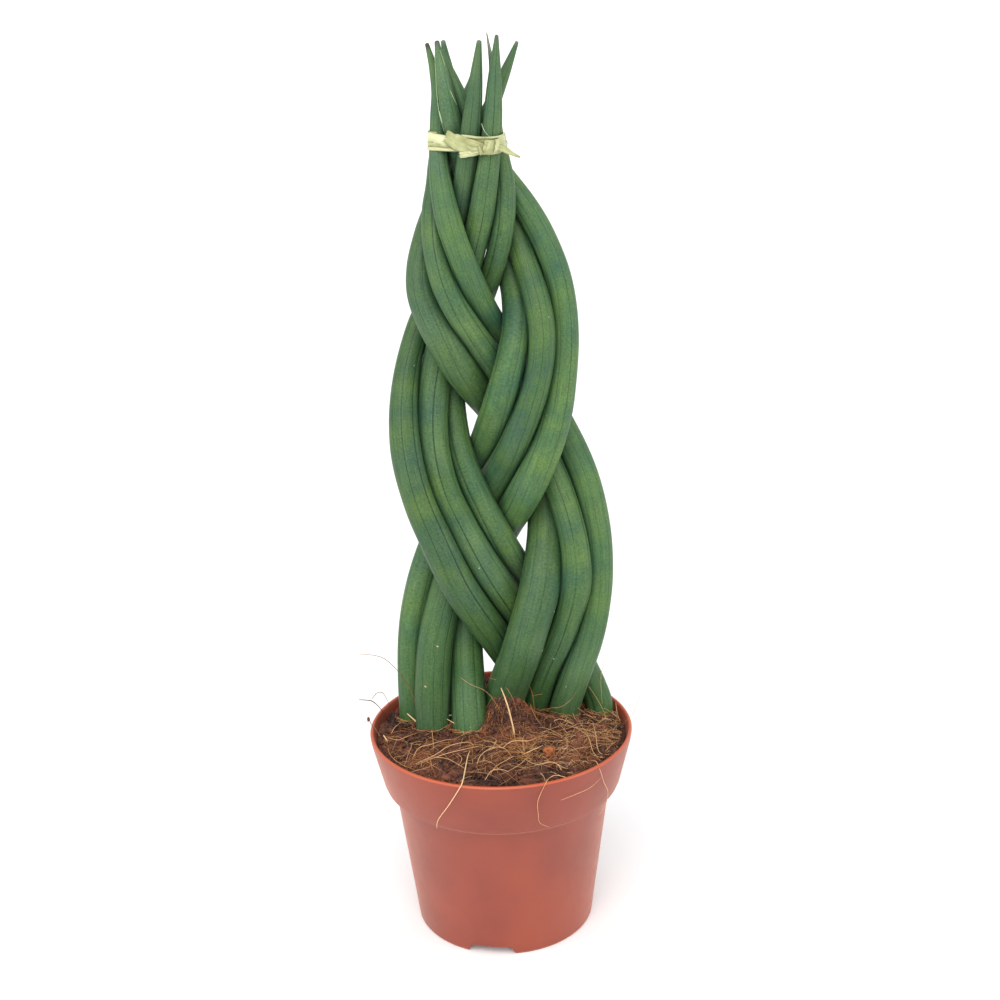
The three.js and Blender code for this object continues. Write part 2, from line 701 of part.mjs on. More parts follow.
const plant = new THREE.Group();
plant.add(piece('pot', potGeometry(), COLOUR.pot, 0.45));
plant.add(piece('soil', soilGeometry(strands), COLOUR.soil, 1));
names.forEach((name, i) => {
  plant.add(piece(`leaf_${name}`, leafGeometry(strands[i]), COLOUR.leaf, 0.5));
});
plant.add(piece('raffia_tie', raffiaGeometry(strands), COLOUR.raffia, 0.7));

export default plant;
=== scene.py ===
"""Braided cylindrical snake plant: its finished surfaces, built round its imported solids.

Nine round leaves in three strands of three, a raffia tie, coir with its fibres and a plastic
nursery pot. Lengths are in metres and MM turns millimetres into them; +Z is up and the front
is -Y.
"""

import functools
import json
import math
import random

import bmesh
import bpy
from bpy.props import (
    FloatProperty,
    FloatVectorProperty,
    IntProperty,
    PointerProperty,
)
from mathutils import Matrix, Vector, noise
from mathutils.kdtree import KDTree

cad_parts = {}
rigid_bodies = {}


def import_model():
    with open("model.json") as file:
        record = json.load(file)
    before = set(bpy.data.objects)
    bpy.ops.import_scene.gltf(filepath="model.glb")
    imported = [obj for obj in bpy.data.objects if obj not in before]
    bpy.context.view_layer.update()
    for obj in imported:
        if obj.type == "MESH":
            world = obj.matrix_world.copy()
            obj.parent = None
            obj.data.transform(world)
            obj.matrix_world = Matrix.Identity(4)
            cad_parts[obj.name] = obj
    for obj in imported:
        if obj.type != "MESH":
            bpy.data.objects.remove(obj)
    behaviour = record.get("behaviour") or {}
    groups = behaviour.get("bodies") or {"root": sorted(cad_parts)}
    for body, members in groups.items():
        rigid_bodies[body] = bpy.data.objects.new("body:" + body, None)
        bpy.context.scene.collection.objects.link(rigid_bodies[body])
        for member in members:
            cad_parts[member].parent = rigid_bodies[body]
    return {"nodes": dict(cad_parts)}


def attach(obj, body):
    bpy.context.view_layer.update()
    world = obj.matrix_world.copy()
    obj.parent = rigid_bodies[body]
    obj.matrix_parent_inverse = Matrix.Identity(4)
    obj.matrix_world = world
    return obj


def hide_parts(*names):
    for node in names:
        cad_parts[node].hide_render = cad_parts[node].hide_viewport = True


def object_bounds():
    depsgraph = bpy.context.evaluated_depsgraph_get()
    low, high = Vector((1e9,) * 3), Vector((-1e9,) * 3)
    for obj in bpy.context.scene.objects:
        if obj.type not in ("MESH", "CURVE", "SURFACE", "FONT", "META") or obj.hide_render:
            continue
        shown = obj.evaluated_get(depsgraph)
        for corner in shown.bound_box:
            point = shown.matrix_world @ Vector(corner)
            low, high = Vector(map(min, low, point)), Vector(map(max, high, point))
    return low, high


bl_info = {
    "name": "Braided Snake Plant",
    "version": (1, 0, 0),
    "blender": (4, 5, 0),
    "location": "View3D > Sidebar > Plant",
    "description": "Builds a braided cylindrical snake plant in its nursery pot",
    "category": "Object",
}

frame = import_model()
SOLIDS_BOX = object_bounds()

MM = 0.001
BODY = "root"
FULL_TURN = 2 * math.pi
MIX_A, MIX_B, MIXED = 6, 7, 2  # a Mix node's colour sockets
LEAVES = sorted(name for name in frame["nodes"] if name.startswith("leaf_"))
LEAF_SOLID_SIDES = 16
TIP_CROWDING = 1.15  # rings lie closer towards the tip
LINE_STEPS = 200  # steps along a leaf's centre line, where it is searched
SWELL_WITHIN = 60  # millimetres from the tip, over which the skin comes to its full swell
PAINTED_SHADE_WITHIN = 3.6  # millimetres to the next leaf, within which the skin is painted darker: painted shade between leaves
CONTACT_SHADE_FADES_ABOVE = 372  # the height in millimetres where the leaves begin to part, above which the painted contact shade fades

# Pot, millimetres: the same outline as its solid, radius and height, in under the floor,
# up the outside and down the inside.
POT_RIM_RADIUS = 65.0
POT_HEIGHT = 103.0
POT_PROFILE = [
    (0, 5.2), (39.6, 5.2), (40.4, 4.4), (40.4, 0), (43.6, 0), (44.4, 1.2), (53.4, 70), (54.4, 72.5),
    (58.4, 75.5), (59.4, 78), (64.55, 99), (65, 102.2), (64.55, 103), (63.65, 103), (63.2, 102.2),
    (62.75, 99), (57.7, 78.6), (51.7, 73.4), (43.3, 9), (41.1, 6.8), (0, 6.8),
]
NOTCH_ANGLES = (-100, 20, 140)
NOTCH_WIDTH = 24.0
NOTCH_HEIGHT = 4.6
NOTCH_SLOPE = 2.2
NOTCH_CORNER = 1.2
DRAIN_COUNT = 6
DRAIN_RADIUS = 4.5
DRAIN_RING = 27.0
DRAIN_CUT = (6.0, 8.0)  # middle height and depth of what cuts a drain hole
NOTCH_CUT = (40.0, 14.0)  # distance from the axis and depth of what cuts a notch

# Each leaf: dried length of its tip in millimetres, how dried and how pale its end is, how narrow
# it runs out, over what length in millimetres, and how light its green is beside the others.
TIPS = {
    "leaf_a1": (3.0, 0.45, 0.30, 0.95, 13, 0.88),
    "leaf_a2": (4.0, 0.90, 0.10, 0.85, 13, 1.00),
    "leaf_a3": (13.0, 0.90, 0.35, 0.42, 40, 1.00),
    "leaf_b1": (5.0, 0.90, 0.08, 0.78, 13, 1.08),
    "leaf_b2": (2.6, 0.45, 0.40, 0.85, 13, 0.96),
    "leaf_b3": (1.8, 0.60, 0.30, 0.85, 13, 1.12),
    "leaf_c1": (3.0, 0.85, 0.25, 0.80, 13, 0.88),
    "leaf_c2": (1.8, 0.50, 0.30, 0.60, 26, 1.00),
    "leaf_c3": (5.0, 0.95, 0.00, 0.85, 13, 1.08),
}

# Where a leaf is fuller than its solid, so that it presses on its neighbours: height, by how
# much and over what length, in millimetres.
FULLER = {
    "leaf_b2": ((228, 0.9, 14),),
    "leaf_b3": ((223, 0.6, 14), (208, 0.3, 8)),
    "leaf_c1": ((286, 0.5, 12), (176, 0.3, 10)),
    "leaf_c2": ((380, 0.8, 10), (286, 0.8, 12), (176, 0.9, 12)),
}

# How far a drying tip leans aside, in +X: how far under the tip, by how much and over what
# length, in millimetres.
LEANING = {
    "leaf_a3": (16, 1.4, 12),
    "leaf_c2": (0, -1.2, 14),
}

# Papery slivers along the edges of one leaf: width, then x, y and z.
MARGINS = (
    (0.26, (
        (-20.6, 4.6, 424), (-20.4, 3, 416.5), (-20.2, 1.6, 409), (-19.6, 0, 401),
        (-18.6, -0.8, 396), (-17.6, -0.6, 391.8),
    )),
    (0.42, ((-19.3, -0.4, 400.4), (-18.8, -0.9, 397.8), (-18.2, -0.9, 395.2))),
    (0.2, ((-18.2, 3.8, 426), (-16.6, 2.2, 421), (-14.8, 0.8, 414), (-13.9, -0.6, 409.5))),
    (0.34, ((-14.3, -1.4, 409.4), (-13.5, -1.2, 407.4), (-12.6, -0.5, 405.2), (-11.5, 0.5, 402.8))),
)

# Coir, millimetres.
SOIL_RADIUS = 61.6
SOIL_LEVEL = 98.5  # at the wall
SOIL_FLOOR = 7.2
SOIL_CROWN = 5.0  # how much higher it is in the middle
SOIL_CROWN_POWER = 2.5
CLUMP_HEIGHT = 7.5
CLUMP_CENTRE = (5, 3)
CLUMP_SPREAD = (15, 9)
HEAP = (3.5, -3, 15, 8)  # x, y, height and spread of the heap between the front leaves
MOUNDS = (  # as above: coir heaped on the leaves' feet, and a hollow
    HEAP,
    (-30, 3, 2, 11),
    (25, -3, 2, 10),
    (0, -44, 1.5, 9),
    (33, -30, 1.5, 8),
    (23.5, -38, -3, 3.2),
)
TUFTS = (  # x, y, radius and number of fibres: where they lie thickest
    (9, -11, 5, 30),
    (9, -20, 6, 90),
    (13, -31, 7, 95),
    (20, -36, 6, 45),
    (42, -14, 12, 80),
    (40, -32, 9, 45),
    (54, 4, 6, 35),
    (-6, -42, 10, 45),
    (-42, -28, 9, 50),
    (-51, -8, 8, 35),
    (-20, -20, 8, 35),
    (24, -6, 6, 16),
    (32, 0, 6, 16),
    (52, -14, 8, 35),
)
BARE = (9, -54, 22, 8.5)  # x, y, half its width and half its depth: no fibres lie here
CHIP = (23, -32.5, 3)  # x, y and radius of the orange-brown chip
CRUMB_REACH = 60.5  # how far from the middle the crumbs, clods, tufts and fibres lie
CLOD_REACH = 57
TUFT_REACH = 60
FIBRE_REACH = 60.3
TANGLED = 150  # fibres that curl out of the heap
FOOT_FIBRES = 14  # fibres round the foot of each leaf
NOISE_SEED = 1795502258  # for the vector noise in the crumbs and the chip; unset, it follows the clock

# Straws and the longer fibres on the coir: thickness, tone and then x, y and height over it.
LONG_FIBRES = (
    (0.8, 0.95, ((6.8, -15, 0), (3.7, -12.5, 12), (0.6, -11, 20))),
    (0.8, 0.95, ((-39.5, 1.7, 0), (-48.8, 11, 6))),
    (0.7, 0.90, ((-8.4, -9.1, 0), (-17.2, -8.3, 1.4), (-27.2, -3, 4))),
    (0.7, 0.95, ((-56, -9, 0), (-58.2, -7, 3))),
    (0.5, 0.95, ((9, -33, 0), (20, -28, 3))),
    (0.4, 0.85, ((-32, -5, 0), (-29, -3, 3), (-24.3, -1, 4.5), (-19.8, -3, 3), (-17.4, -6, 0))),
    (0.4, 0.80, ((-44, -35, 0), (-32, -34, 2.5), (-25, -29, 4), (-16, -24, 3), (-13, -24, 0))),
    (0.4, 0.75, ((-43, -29, 0), (-40, -24, 2), (-34, -23, 3), (-27, -17, 2), (-21, -15, 0))),
    (0.35, 0.85, ((-44, -36, 0), (-28, -33, 1.5), (-15, -27, 2), (-5, -21, 0))),
    (0.35, 0.70, ((5, -3, 0), (6, -15, 2), (10, -33, 2), (17, -39, 0))),
    (0.35, 0.75, ((10, -29, 0), (4, -40, 2), (-3, -46, 2), (-6, -51, 0))),
    (0.4, 0.85, ((19, -35, 0), (26, -43, 2), (29, -48, 1.5), (35, -45, 0))),
    (0.4, 0.85, ((20, -54, 0), (25, -51, 1.5), (32, -53, 2), (41, -46, 2), (52, -33, 0))),
    (0.35, 0.80, ((37, -5, 0), (42, -19, 3), (44, -31, 2.5), (48, -36, 0))),
    (0.35, 0.80, ((46, 7, 0), (46, -17, 3), (47, -30, 2), (54, -28, 0))),
    (0.35, 0.80, ((59, 22, 4), (59, 14, 2), (60, 4, 0))),
    (0.35, 0.75, ((24, -6, 0), (29, -5, 3), (36, -4, 1))),
    (0.35, 0.70, ((-58, -3, 0), (-51, -13, 2), (-45, -13, 2.5), (-39, -4, 0))),
    (0.35, 0.65, ((-56, -9, 0), (-54, -24, 1), (-48, -35, 1.5), (-41, -39, 0))),
    (0.35, 0.75, ((-55, -4, 0), (-53, 0, 2), (-50, 4, 3))),
    (0.35, 0.70, ((-34, -9, 3), (-33, -20, 1.5), (-33, -28, 0))),
    (0.35, 0.70, ((-36, -28, 0), (-34, -35, 1.5), (-33, -41, 0))),
    (0.35, 0.75, ((-23, -27, 0), (-19, -35, 1.5), (-21, -41, 0))),
    (0.4, 0.85, ((-8, -53, 0), (-5, -49, 2), (-1, -48, 2.5), (4, -47, 0))),
    (0.35, 0.80, ((9, -34, 0), (16, -45, 2.5), (24, -43, 3), (30, -45, 1.5), (37, -40, 0))),
    (0.4, 0.85, ((-1, -30, 0), (5, -25, 3), (14, -24, 3), (22, -12, 0))),
    (0.35, 0.80, ((-12, -42, 0), (-10, -36, 3), (-4, -33, 4), (2, -32, 2), (6, -39, 0))),
)

# Hairs that stand off the coir or lean on the leaves: thickness, tone, then x, y and z.
HAIRS = (
    (0.32, 0.25, (
        (-67, -20, 151.9), (-60.5, -18, 150.3), (-54.8, -14, 146.3), (-48.8, -9, 137.1),
        (-45, -4, 127.7), (-42.5, -1.5, 118.6), (-40.9, 0, 111), (-40.5, 1, 101),
    )),
    (0.5, 0.05, (
        (-71, 10, 113.9), (-67.4, 11, 113.1), (-64.5, 13, 111.4), (-61.5, 17, 106),
        (-58, 20, 98.5),
    )),
    (0.35, 0.10, ((-64.8, 14, 112.2), (-62, 15, 115), (-59, 17, 113.5), (-56, 20, 104))),
    (0.35, 0.10, ((-64.5, -9, 112), (-63, -7, 107), (-59.5, -3, 98.5))),
    (0.2, 0.95, (
        (-76, -30, 116), (-70, -25, 117.5), (-65, -18, 115.5), (-62, -10, 108),
        (-59, -6, 99),
    )),
    (0.2, 0.90, (
        (57, 6, 149.7), (54.5, 7, 138.6), (52.1, 8, 130.7), (50.6, 9, 123.7),
        (51, 12, 112), (52, 14, 101),
    )),
    (0.2, 0.85, ((68.7, -6, 119.8), (66.9, -4, 113), (65, -1, 106.5), (60, 4, 98.5))),
    (0.18, 0.70, (
        (-18.7, -11.2, 133.9), (-13.4, -12.2, 130.5), (-7.2, -12.4, 127.4), (-2.5, -12, 121),
        (1, -10, 112.5),
    )),
    (0.16, 0.70, (
        (-5.5, -1, 129), (-2, -5, 129.6), (2.6, -8.5, 127.6), (6, -10, 122),
        (8, -9, 114),
    )),
    (0.16, 0.55, ((13.9, -3, 127.1), (15.9, -5, 121.5), (16.6, -6, 115), (17.5, -6, 108))),
    (0.14, 0.55, ((16, -5, 120.5), (18.6, -6, 121.5), (21.1, -6, 121.9))),
    (0.18, 0.65, (
        (21, -5, 113), (25.4, -7.5, 114.9), (29.4, -8, 115.5), (34, -6, 117.6),
        (37.5, -3, 121),
    )),
    (0.2, 0.75, ((44.4, 13, 116.8), (47.5, 11, 112.5), (51, 10, 106), (54, 9, 99))),
    (0.55, 0.95, (
        (-15.1, -28.4, 103.4), (-16, -38, 105.6), (-17, -50, 105.4), (-18.2, -60.5, 104.3),
        (-20, -62.6, 101.5), (-25.4, -59.2, 91.1), (-30.5, -55, 81.7), (-31.3, -53.2, 76.3),
    )),
    (0.3, 0.80, (
        (24, -50, 100.2), (21.5, -58, 103.3), (19.7, -62.2, 102.6), (16.3, -62.2, 94.4),
        (16.3, -61, 87.3), (17.1, -59.4, 81.2), (21.4, -57, 77.5),
    )),
    (0.3, 0.85, (
        (42, -37, 101), (44.6, -44, 104), (46.6, -45.8, 99), (48.2, -41.8, 92),
        (50.4, -37.6, 84.5), (49.4, -36.2, 77), (46, -36.5, 71),
    )),
    (0.25, 0.80, ((27.1, -58, 92), (34.3, -54, 92.7), (41.2, -49.4, 93.4), (46.8, -44.6, 96))),
)
STALK_BEAD = (-64.8, -9.4, 112.4, 0.95)  # x, y, z and radius

# The tie. Each strip has its tone, how reddish its edges are, in part a painted shadow line where
# strips overlap, how far its end is frayed, and its points. On the bundle a point is degrees round
# it, height, how far outside, and width.
TIE_MIDDLE = (-7.2, 10.8)  # x and y of the bundle's middle, which the strips face away from
CLEAR_OF_SKIN = 0.45  # how far all strips stay off the leaves' skin, besides their own distance
HULL_DIRECTIONS = 72  # directions in which the bundle's outline is felt
TIE_STRIPS = (
    # Round the back, from the left edge to the right.
    (0.50, 0, 0, (
        (-155, 388.9, 0.1, 4.6), (-180, 388.9, 0.1, 4.6), (-215, 388.8, 0.15, 4.2),
        (-250, 388.6, 0.2, 3.8), (-285, 388.5, 0.15, 3.6), (-320, 388.4, 0.1, 3.2),
        (-355, 388.4, 0.05, 3), (-380, 388.3, 0.1, 2.6),
    )),
    (0.42, 0.4, 0, (
        (-155, 385.2, 0, 3.4), (-180, 385.2, 0, 3.4), (-215, 385.4, 0.05, 3.6),
        (-250, 385.6, 0.1, 3.4), (-285, 385.7, 0.05, 3.2), (-320, 385.7, 0, 3),
        (-355, 385.7, 0, 2.6), (-380, 385.7, 0, 2.4),
    )),
    # The left front: a broad strip, and two narrow ones under it.
    (0.80, 0.3, 0, (
        (-235, 388.8, 0.2, 4.6), (-212, 388.7, 0.2, 5), (-190, 388.6, 0.25, 5.4), (-168, 388.4, 0.5, 5.6),
        (-148, 388, 0.7, 5.3), (-128, 387.5, 0.75, 4.5), (-108, 386.7, 0.8, 3.6), (-88, 385.7, 1.1, 2.6),
    )),
    (0.55, 0.9, 0, (
        (-235, 385.9, 0.05, 2.6), (-212, 385.9, 0.05, 2.6), (-190, 385.9, 0.1, 2.6), (-168, 385.8, 0.15, 2.5),
        (-148, 385.6, 0.25, 2.3), (-128, 385.2, 0.45, 1.9), (-108, 384.8, 0.6, 1.6), (-88, 384.6, 0.9, 1.4),
    )),
    (0.72, 0.8, 0, (
        (-235, 384.2, 0.15, 1.7), (-212, 384.2, 0.15, 1.7), (-190, 384.2, 0.2, 1.7), (-168, 384.2, 0.25, 1.6),
        (-148, 384.1, 0.35, 1.5), (-128, 384, 0.5, 1.3), (-108, 383.9, 0.7, 1.1), (-88, 383.8, 0.9, 1),
    )),
    # The top strand, and a thin near-black straw behind it: painted shade between strand and knot.
    (0.66, 0, 0, (
        (-100, 390.1, 0.9, 1), (-90, 389.9, 0.9, 1), (-78, 389.4, 1, 0.9), (-66, 389.1, 1, 0.9),
        (-55, 389.3, 0.9, 0.9), (-46, 389.8, 0.7, 1), (-34, 390.2, 0.35, 1), (-15, 390, 0.2, 1),
    )),
    (0.05, 0, 0, (
        (-104, 387.2, 0.3, 4), (-84, 387, 0.5, 4.4), (-66, 387, 0.5, 4.2), (-52, 387.2, 0.4, 3.4),
        (-40, 387.4, 0.2, 2.6),
    )),
    # The right front: three strips that fan out of the knot.
    (0.66, 0.2, 0, (
        (-62, 387, 2.2, 1.6), (-55, 387.7, 1.8, 1.9), (-46, 388.5, 1, 2.1), (-34, 388.9, 0.4, 2),
        (-15, 388.9, 0.2, 1.8), (8, 388.8, 0.2, 1.6),
    )),
    (0.58, 0.5, 0, (
        (-62, 386.2, 2.3, 1.8), (-55, 386.6, 1.9, 2.1), (-46, 387, 1.1, 2.3), (-34, 387.2, 0.5, 2.3),
        (-15, 387.2, 0.2, 2.2), (8, 387.2, 0.2, 2),
    )),
    (0.62, 0.6, 0, (
        (-64, 384.6, 2.1, 2), (-56, 384.8, 1.7, 2.2), (-46, 385, 1, 2.2), (-34, 385.3, 0.4, 2.2),
        (-15, 385.4, 0.2, 2.1), (8, 385.6, 0.2, 2),
    )),
    (0.70, 0.2, 0, (
        (-78, 383, 1.6, 1.6), (-68, 382.9, 2, 1.6), (-58, 383, 1.6, 1.6), (-46, 383.6, 0.8, 1.4),
        (-34, 384.2, 0.3, 1.2), (-15, 384.5, 0.1, 1),
    )),
    # The upper flap, its end frayed, the curl where it leaves the knot, and the lower flap.
    (0.42, 0.1, 2.2, (
        (-69, 384.6, 2.4, 3.8), (-78, 385, 2.2, 5.2), (-88, 385.7, 2, 6.3), (-98, 386.5, 1.8, 6.8),
        (-107, 387.3, 1.8, 6.8), (-115, 388.1, 1.9, 6.5), (-122, 389, 2, 6.2), (-127, 389.7, 2.2, 5.8),
    )),
    (0.60, 0, 0, (
        (-93, 387.4, 1.7, 0.4), (-91, 386, 2.2, 0.7), (-87, 384.9, 2.5, 1), (-81, 384.6, 2.7, 1.2),
        (-75, 385.3, 2.9, 1.2),
    )),
    (0.70, 0.5, 1.2, (
        (-70, 383.6, 2.4, 2.2), (-80, 383.1, 2.1, 2.6), (-91, 382.6, 1.9, 3), (-102, 382.1, 2, 2.8),
    )),
)
# The knot. Each upright turn goes up behind, over and down in front: it has its tone, how reddish
# its edges are, in part painted shadow, how rounded it is in millimetres, and its points as above.
TIE_KNOT = (
    # The pillow, two small turns on it, and the narrow turn at its left.
    (0.52, 0.2, 1.5, (
        (-60, 385, 0.4, 4.4), (-60, 386.6, 0.6, 5), (-61, 387.9, 1.5, 5.4), (-62, 388.3, 2.9, 6),
        (-63, 386.9, 4, 6.6), (-64, 384.9, 4.2, 6.8), (-65, 383.1, 3.4, 6.2), (-65, 382.1, 1.8, 5.4),
        (-65, 382.3, 0.4, 4.6),
    )),
    (0.62, 0.6, 0.5, (
        (-57, 386.4, 1.6, 1.4), (-57, 387.8, 2, 1.7), (-57.5, 388.7, 3.2, 2), (-58.5, 387.4, 4.4, 2.2),
        (-60, 385.6, 4.9, 2.1), (-61, 383.8, 4.5, 1.8), (-61.5, 382.6, 3.2, 1.4),
    )),
    (0.56, 0.6, 0.4, (
        (-64, 386.4, 2, 1), (-64, 387.8, 2.4, 1.4), (-65, 388.2, 3.6, 1.8), (-66.5, 386.8, 4.6, 1.9),
        (-68, 385, 4.9, 1.7), (-69, 383.6, 4.3, 1.2),
    )),
    (0.40, 0.5, 0.7, (
        (-76, 384.6, 1.2, 1.6), (-76, 385.6, 1.8, 2), (-75.5, 386, 3, 2.3), (-74.5, 384.9, 3.7, 2.5),
        (-74, 383.5, 3.5, 2.5), (-73.5, 382.3, 2.6, 2.2), (-73.5, 381.8, 1, 1.8),
    )),
)
# Off the bundle a point is x, y, z and width: the tail.
TIE_ENDS = (
    (0.52, 0.6, 0.6, (
        (3.4, -9.8, 385.9, 2.4), (6, -9.6, 385.1, 2.9), (8.6, -9, 384.3, 2.7), (11, -8.4, 382.9, 2.2),
        (13.3, -7.8, 381.6, 1.5), (15.4, -7.4, 380.5, 0.7),
    )),
)
TIE_HAIR = ((-0.9, -8.6, 395.4), (-0.4, -9, 393.6), (0.4, -9.3, 391.9), (2.6, -9, 389.3))


def srgb(code):
    """The linear colour, with its alpha, of an sRGB hex code."""
    channels = [int(code[i : i + 2], 16) / 255 for i in (1, 3, 5)]
    linear = [c / 12.92 if c <= 0.04045 else ((c + 0.055) / 1.055) ** 2.4 for c in channels]
    return (*linear, 1.0)


# ---------------------------------------------------------------- settings


def length(name, description, default):
    """A length property; its default is in millimetres."""
    return FloatProperty(name=name, description=description, default=default * MM, unit="LENGTH", min=0)


def colour(name, description, code):
    """A colour property; its default is an sRGB hex code."""
    return FloatVectorProperty(
        name=name, description=description, default=srgb(code), size=4, subtype="COLOR", min=0, max=1
    )


class SnakePlantLeafSettings(bpy.types.PropertyGroup):
    sides: IntProperty(name="Sides", description="Faces round a leaf", default=64, min=12)
    rings: IntProperty(name="Rings", description="Faces along a leaf", default=200, min=20)
    swell: length("Swell", "How far the skin stands out of the leaf's solid", 0.42)
    furrows: IntProperty(name="Furrows", description="Dark lengthwise lines round a leaf", default=8)
    furrow_depth: length("Furrow depth", "Depth of the shallow furrows", 0.22)
    green: colour("Green", "Most of the leaf", "#43613a")
    light_green: colour("Light green", "Yellower patches", "#546f39")
    deep_green: colour("Deep green", "Cross bands and the deeper patches", "#34553e")
    foot_green: colour("Foot green", "The fresher green above the coir", "#3a592f")
    bloom: colour("Bloom", "Where the wax is thick and greyish", "#627a63")
    line_green: colour("Line green", "Fine lengthwise lines", "#142c1c")
    # Painted shade: the dark bluish green for where a leaf lies close to another, in place of the shade
    # between them.
    painted_contact_shade_green: colour("Contact shade green", "Painted shade where a leaf lies close to another", "#17352c")
    dry_brown: colour("Dry brown", "Dried tips", "#3d3c38")
    dry_grey: colour("Dry grey", "Weathered pale tips and specks", "#b4bba9")
    dry_white: colour("Dry white", "Papery slivers", "#a9c38e")
    scar: colour("Scar", "Healed nicks near the foot", "#b09a78")


class SnakePlantPotSettings(bpy.types.PropertyGroup):
    segments: IntProperty(name="Segments", description="Faces round the pot", default=192, min=24)
    edge: length("Edge", "Radius of the moulded edges", 0.5)
    plastic: colour("Plastic", "The pot's colour", "#8b3c2a")
    plastic_deep: colour("Deep plastic", "Darker clouds in the plastic", "#803627")
    plastic_warm: colour("Warm plastic", "Orange clouds in the plastic", "#984326")
    # Painted light: the rim's brighter colour is a painted glow of light through the thin plastic.
    plastic_lip_glow: colour("Lip glow", "The rim's painted glow, where the plastic is thin", "#b4502e")


class SnakePlantSoilSettings(bpy.types.PropertyGroup):
    rings: IntProperty(name="Rings", description="Faces from the wall to the middle", default=110)
    sectors: IntProperty(name="Sectors", description="Faces round the soil", default=320)
    crumbs: IntProperty(name="Crumbs", description="Loose crumbs of coir", default=5200)
    clods: IntProperty(name="Clods", description="Larger lumps of coir", default=120)
    heaped: IntProperty(name="Heaped", description="Crumbs on the heap in the middle", default=600)
    fibres: IntProperty(name="Fibres", description="Short coir fibres", default=330)
    long_fibres: IntProperty(name="Long fibres", description="Longer loose fibres", default=70)
    fibre_thickness: length("Fibre thickness", "Thickness of a coir fibre", 0.17)
    coir: colour("Coir", "Damp coir", "#58382c")
    coir_dark: colour("Dark coir", "Shaded and wetter coir", "#372521")
    coir_red: colour("Red coir", "Fresh reddish coir", "#7d4c39")
    chip: colour("Chip", "A chip of bare husk", "#a65e30")
    fibre_dark: colour("Dark fibre", "The darkest fibres", "#5a301a")
    fibre_tan: colour("Tan fibre", "Most fibres", "#c28045")
    fibre_pale: colour("Pale fibre", "The palest fibres", "#efca98")


class SnakePlantTieSettings(bpy.types.PropertyGroup):
    thickness: length("Thickness", "Thickness of a raffia strip", 0.16)
    pale: colour("Pale", "Most of the strip", "#aeb17c")
    white: colour("White", "The driest, palest fibres", "#cfd2a6")
    # Partly painted shade: the darkest strips take this colour where they lie in shadow.
    shade: colour("Shade", "Greener, thinner straw, and painted shade on strips in shadow", "#83854f")
    # Partly painted shadow: this colour also darkens strip edges where the strips overlap and shade each
    # other.
    rust_and_shadow: colour("Rust and shadow", "Reddish split edges and painted shadow lines", "#70503a")


class SnakePlantStageSettings(bpy.types.PropertyGroup):
    camera_lens: FloatProperty(name="Lens", description="Focal length", default=55.37, unit="CAMERA")
    camera_pitch: FloatProperty(
        name="Pitch", description="How far the camera looks down", default=math.radians(18), subtype="ANGLE"
    )
    camera_roll: FloatProperty(
        name="Roll", description="Turn of the picture", default=math.radians(-1.57), subtype="ANGLE"
    )
    sky: FloatProperty(name="Sky", description="Strength of the light from all round", default=0.8)
    key: FloatProperty(name="Key", description="Strength of the front light", default=2.0)
    side: FloatProperty(name="Side", description="Power of each side softbox", default=2.2, unit="POWER")


# ---------------------------------------------------------------- materials


def fill(node, inputs):
    """Gives each input its value, or links it where a socket is given."""
    for key, value in inputs.items():
        if isinstance(value, bpy.types.NodeSocket):
            node.id_data.links.new(value, node.inputs[key])
        else:
            node.inputs[key].default_value = value


def add_node(tree, kind, inputs=None, stops=(), **settings):
    """Adds a node with its settings, inputs and colour stops, and gives back its outputs."""
    made = tree.nodes.new(f"ShaderNode{kind}")
    for name, value in settings.items():
        setattr(made, name, value)
    fill(made, inputs or {})
    for i, (place, shade) in enumerate(stops):
        elements = made.color_ramp.elements
        stop = elements[i] if i < 2 else elements.new(place)
        stop.position = place
        stop.color = shade
    return made.outputs


def new_material(name):
    """An empty material, the function that adds nodes to it, and its shader, joined to its output."""
    material = bpy.data.materials.new(name)
    material.use_nodes = True
    tree = material.node_tree
    tree.nodes.clear()
    shader = tree.nodes.new("ShaderNodeBsdfPrincipled")
    add = functools.partial(add_node, tree)
    add("OutputMaterial", {"Surface": shader.outputs["BSDF"]})
    return material, add, shader


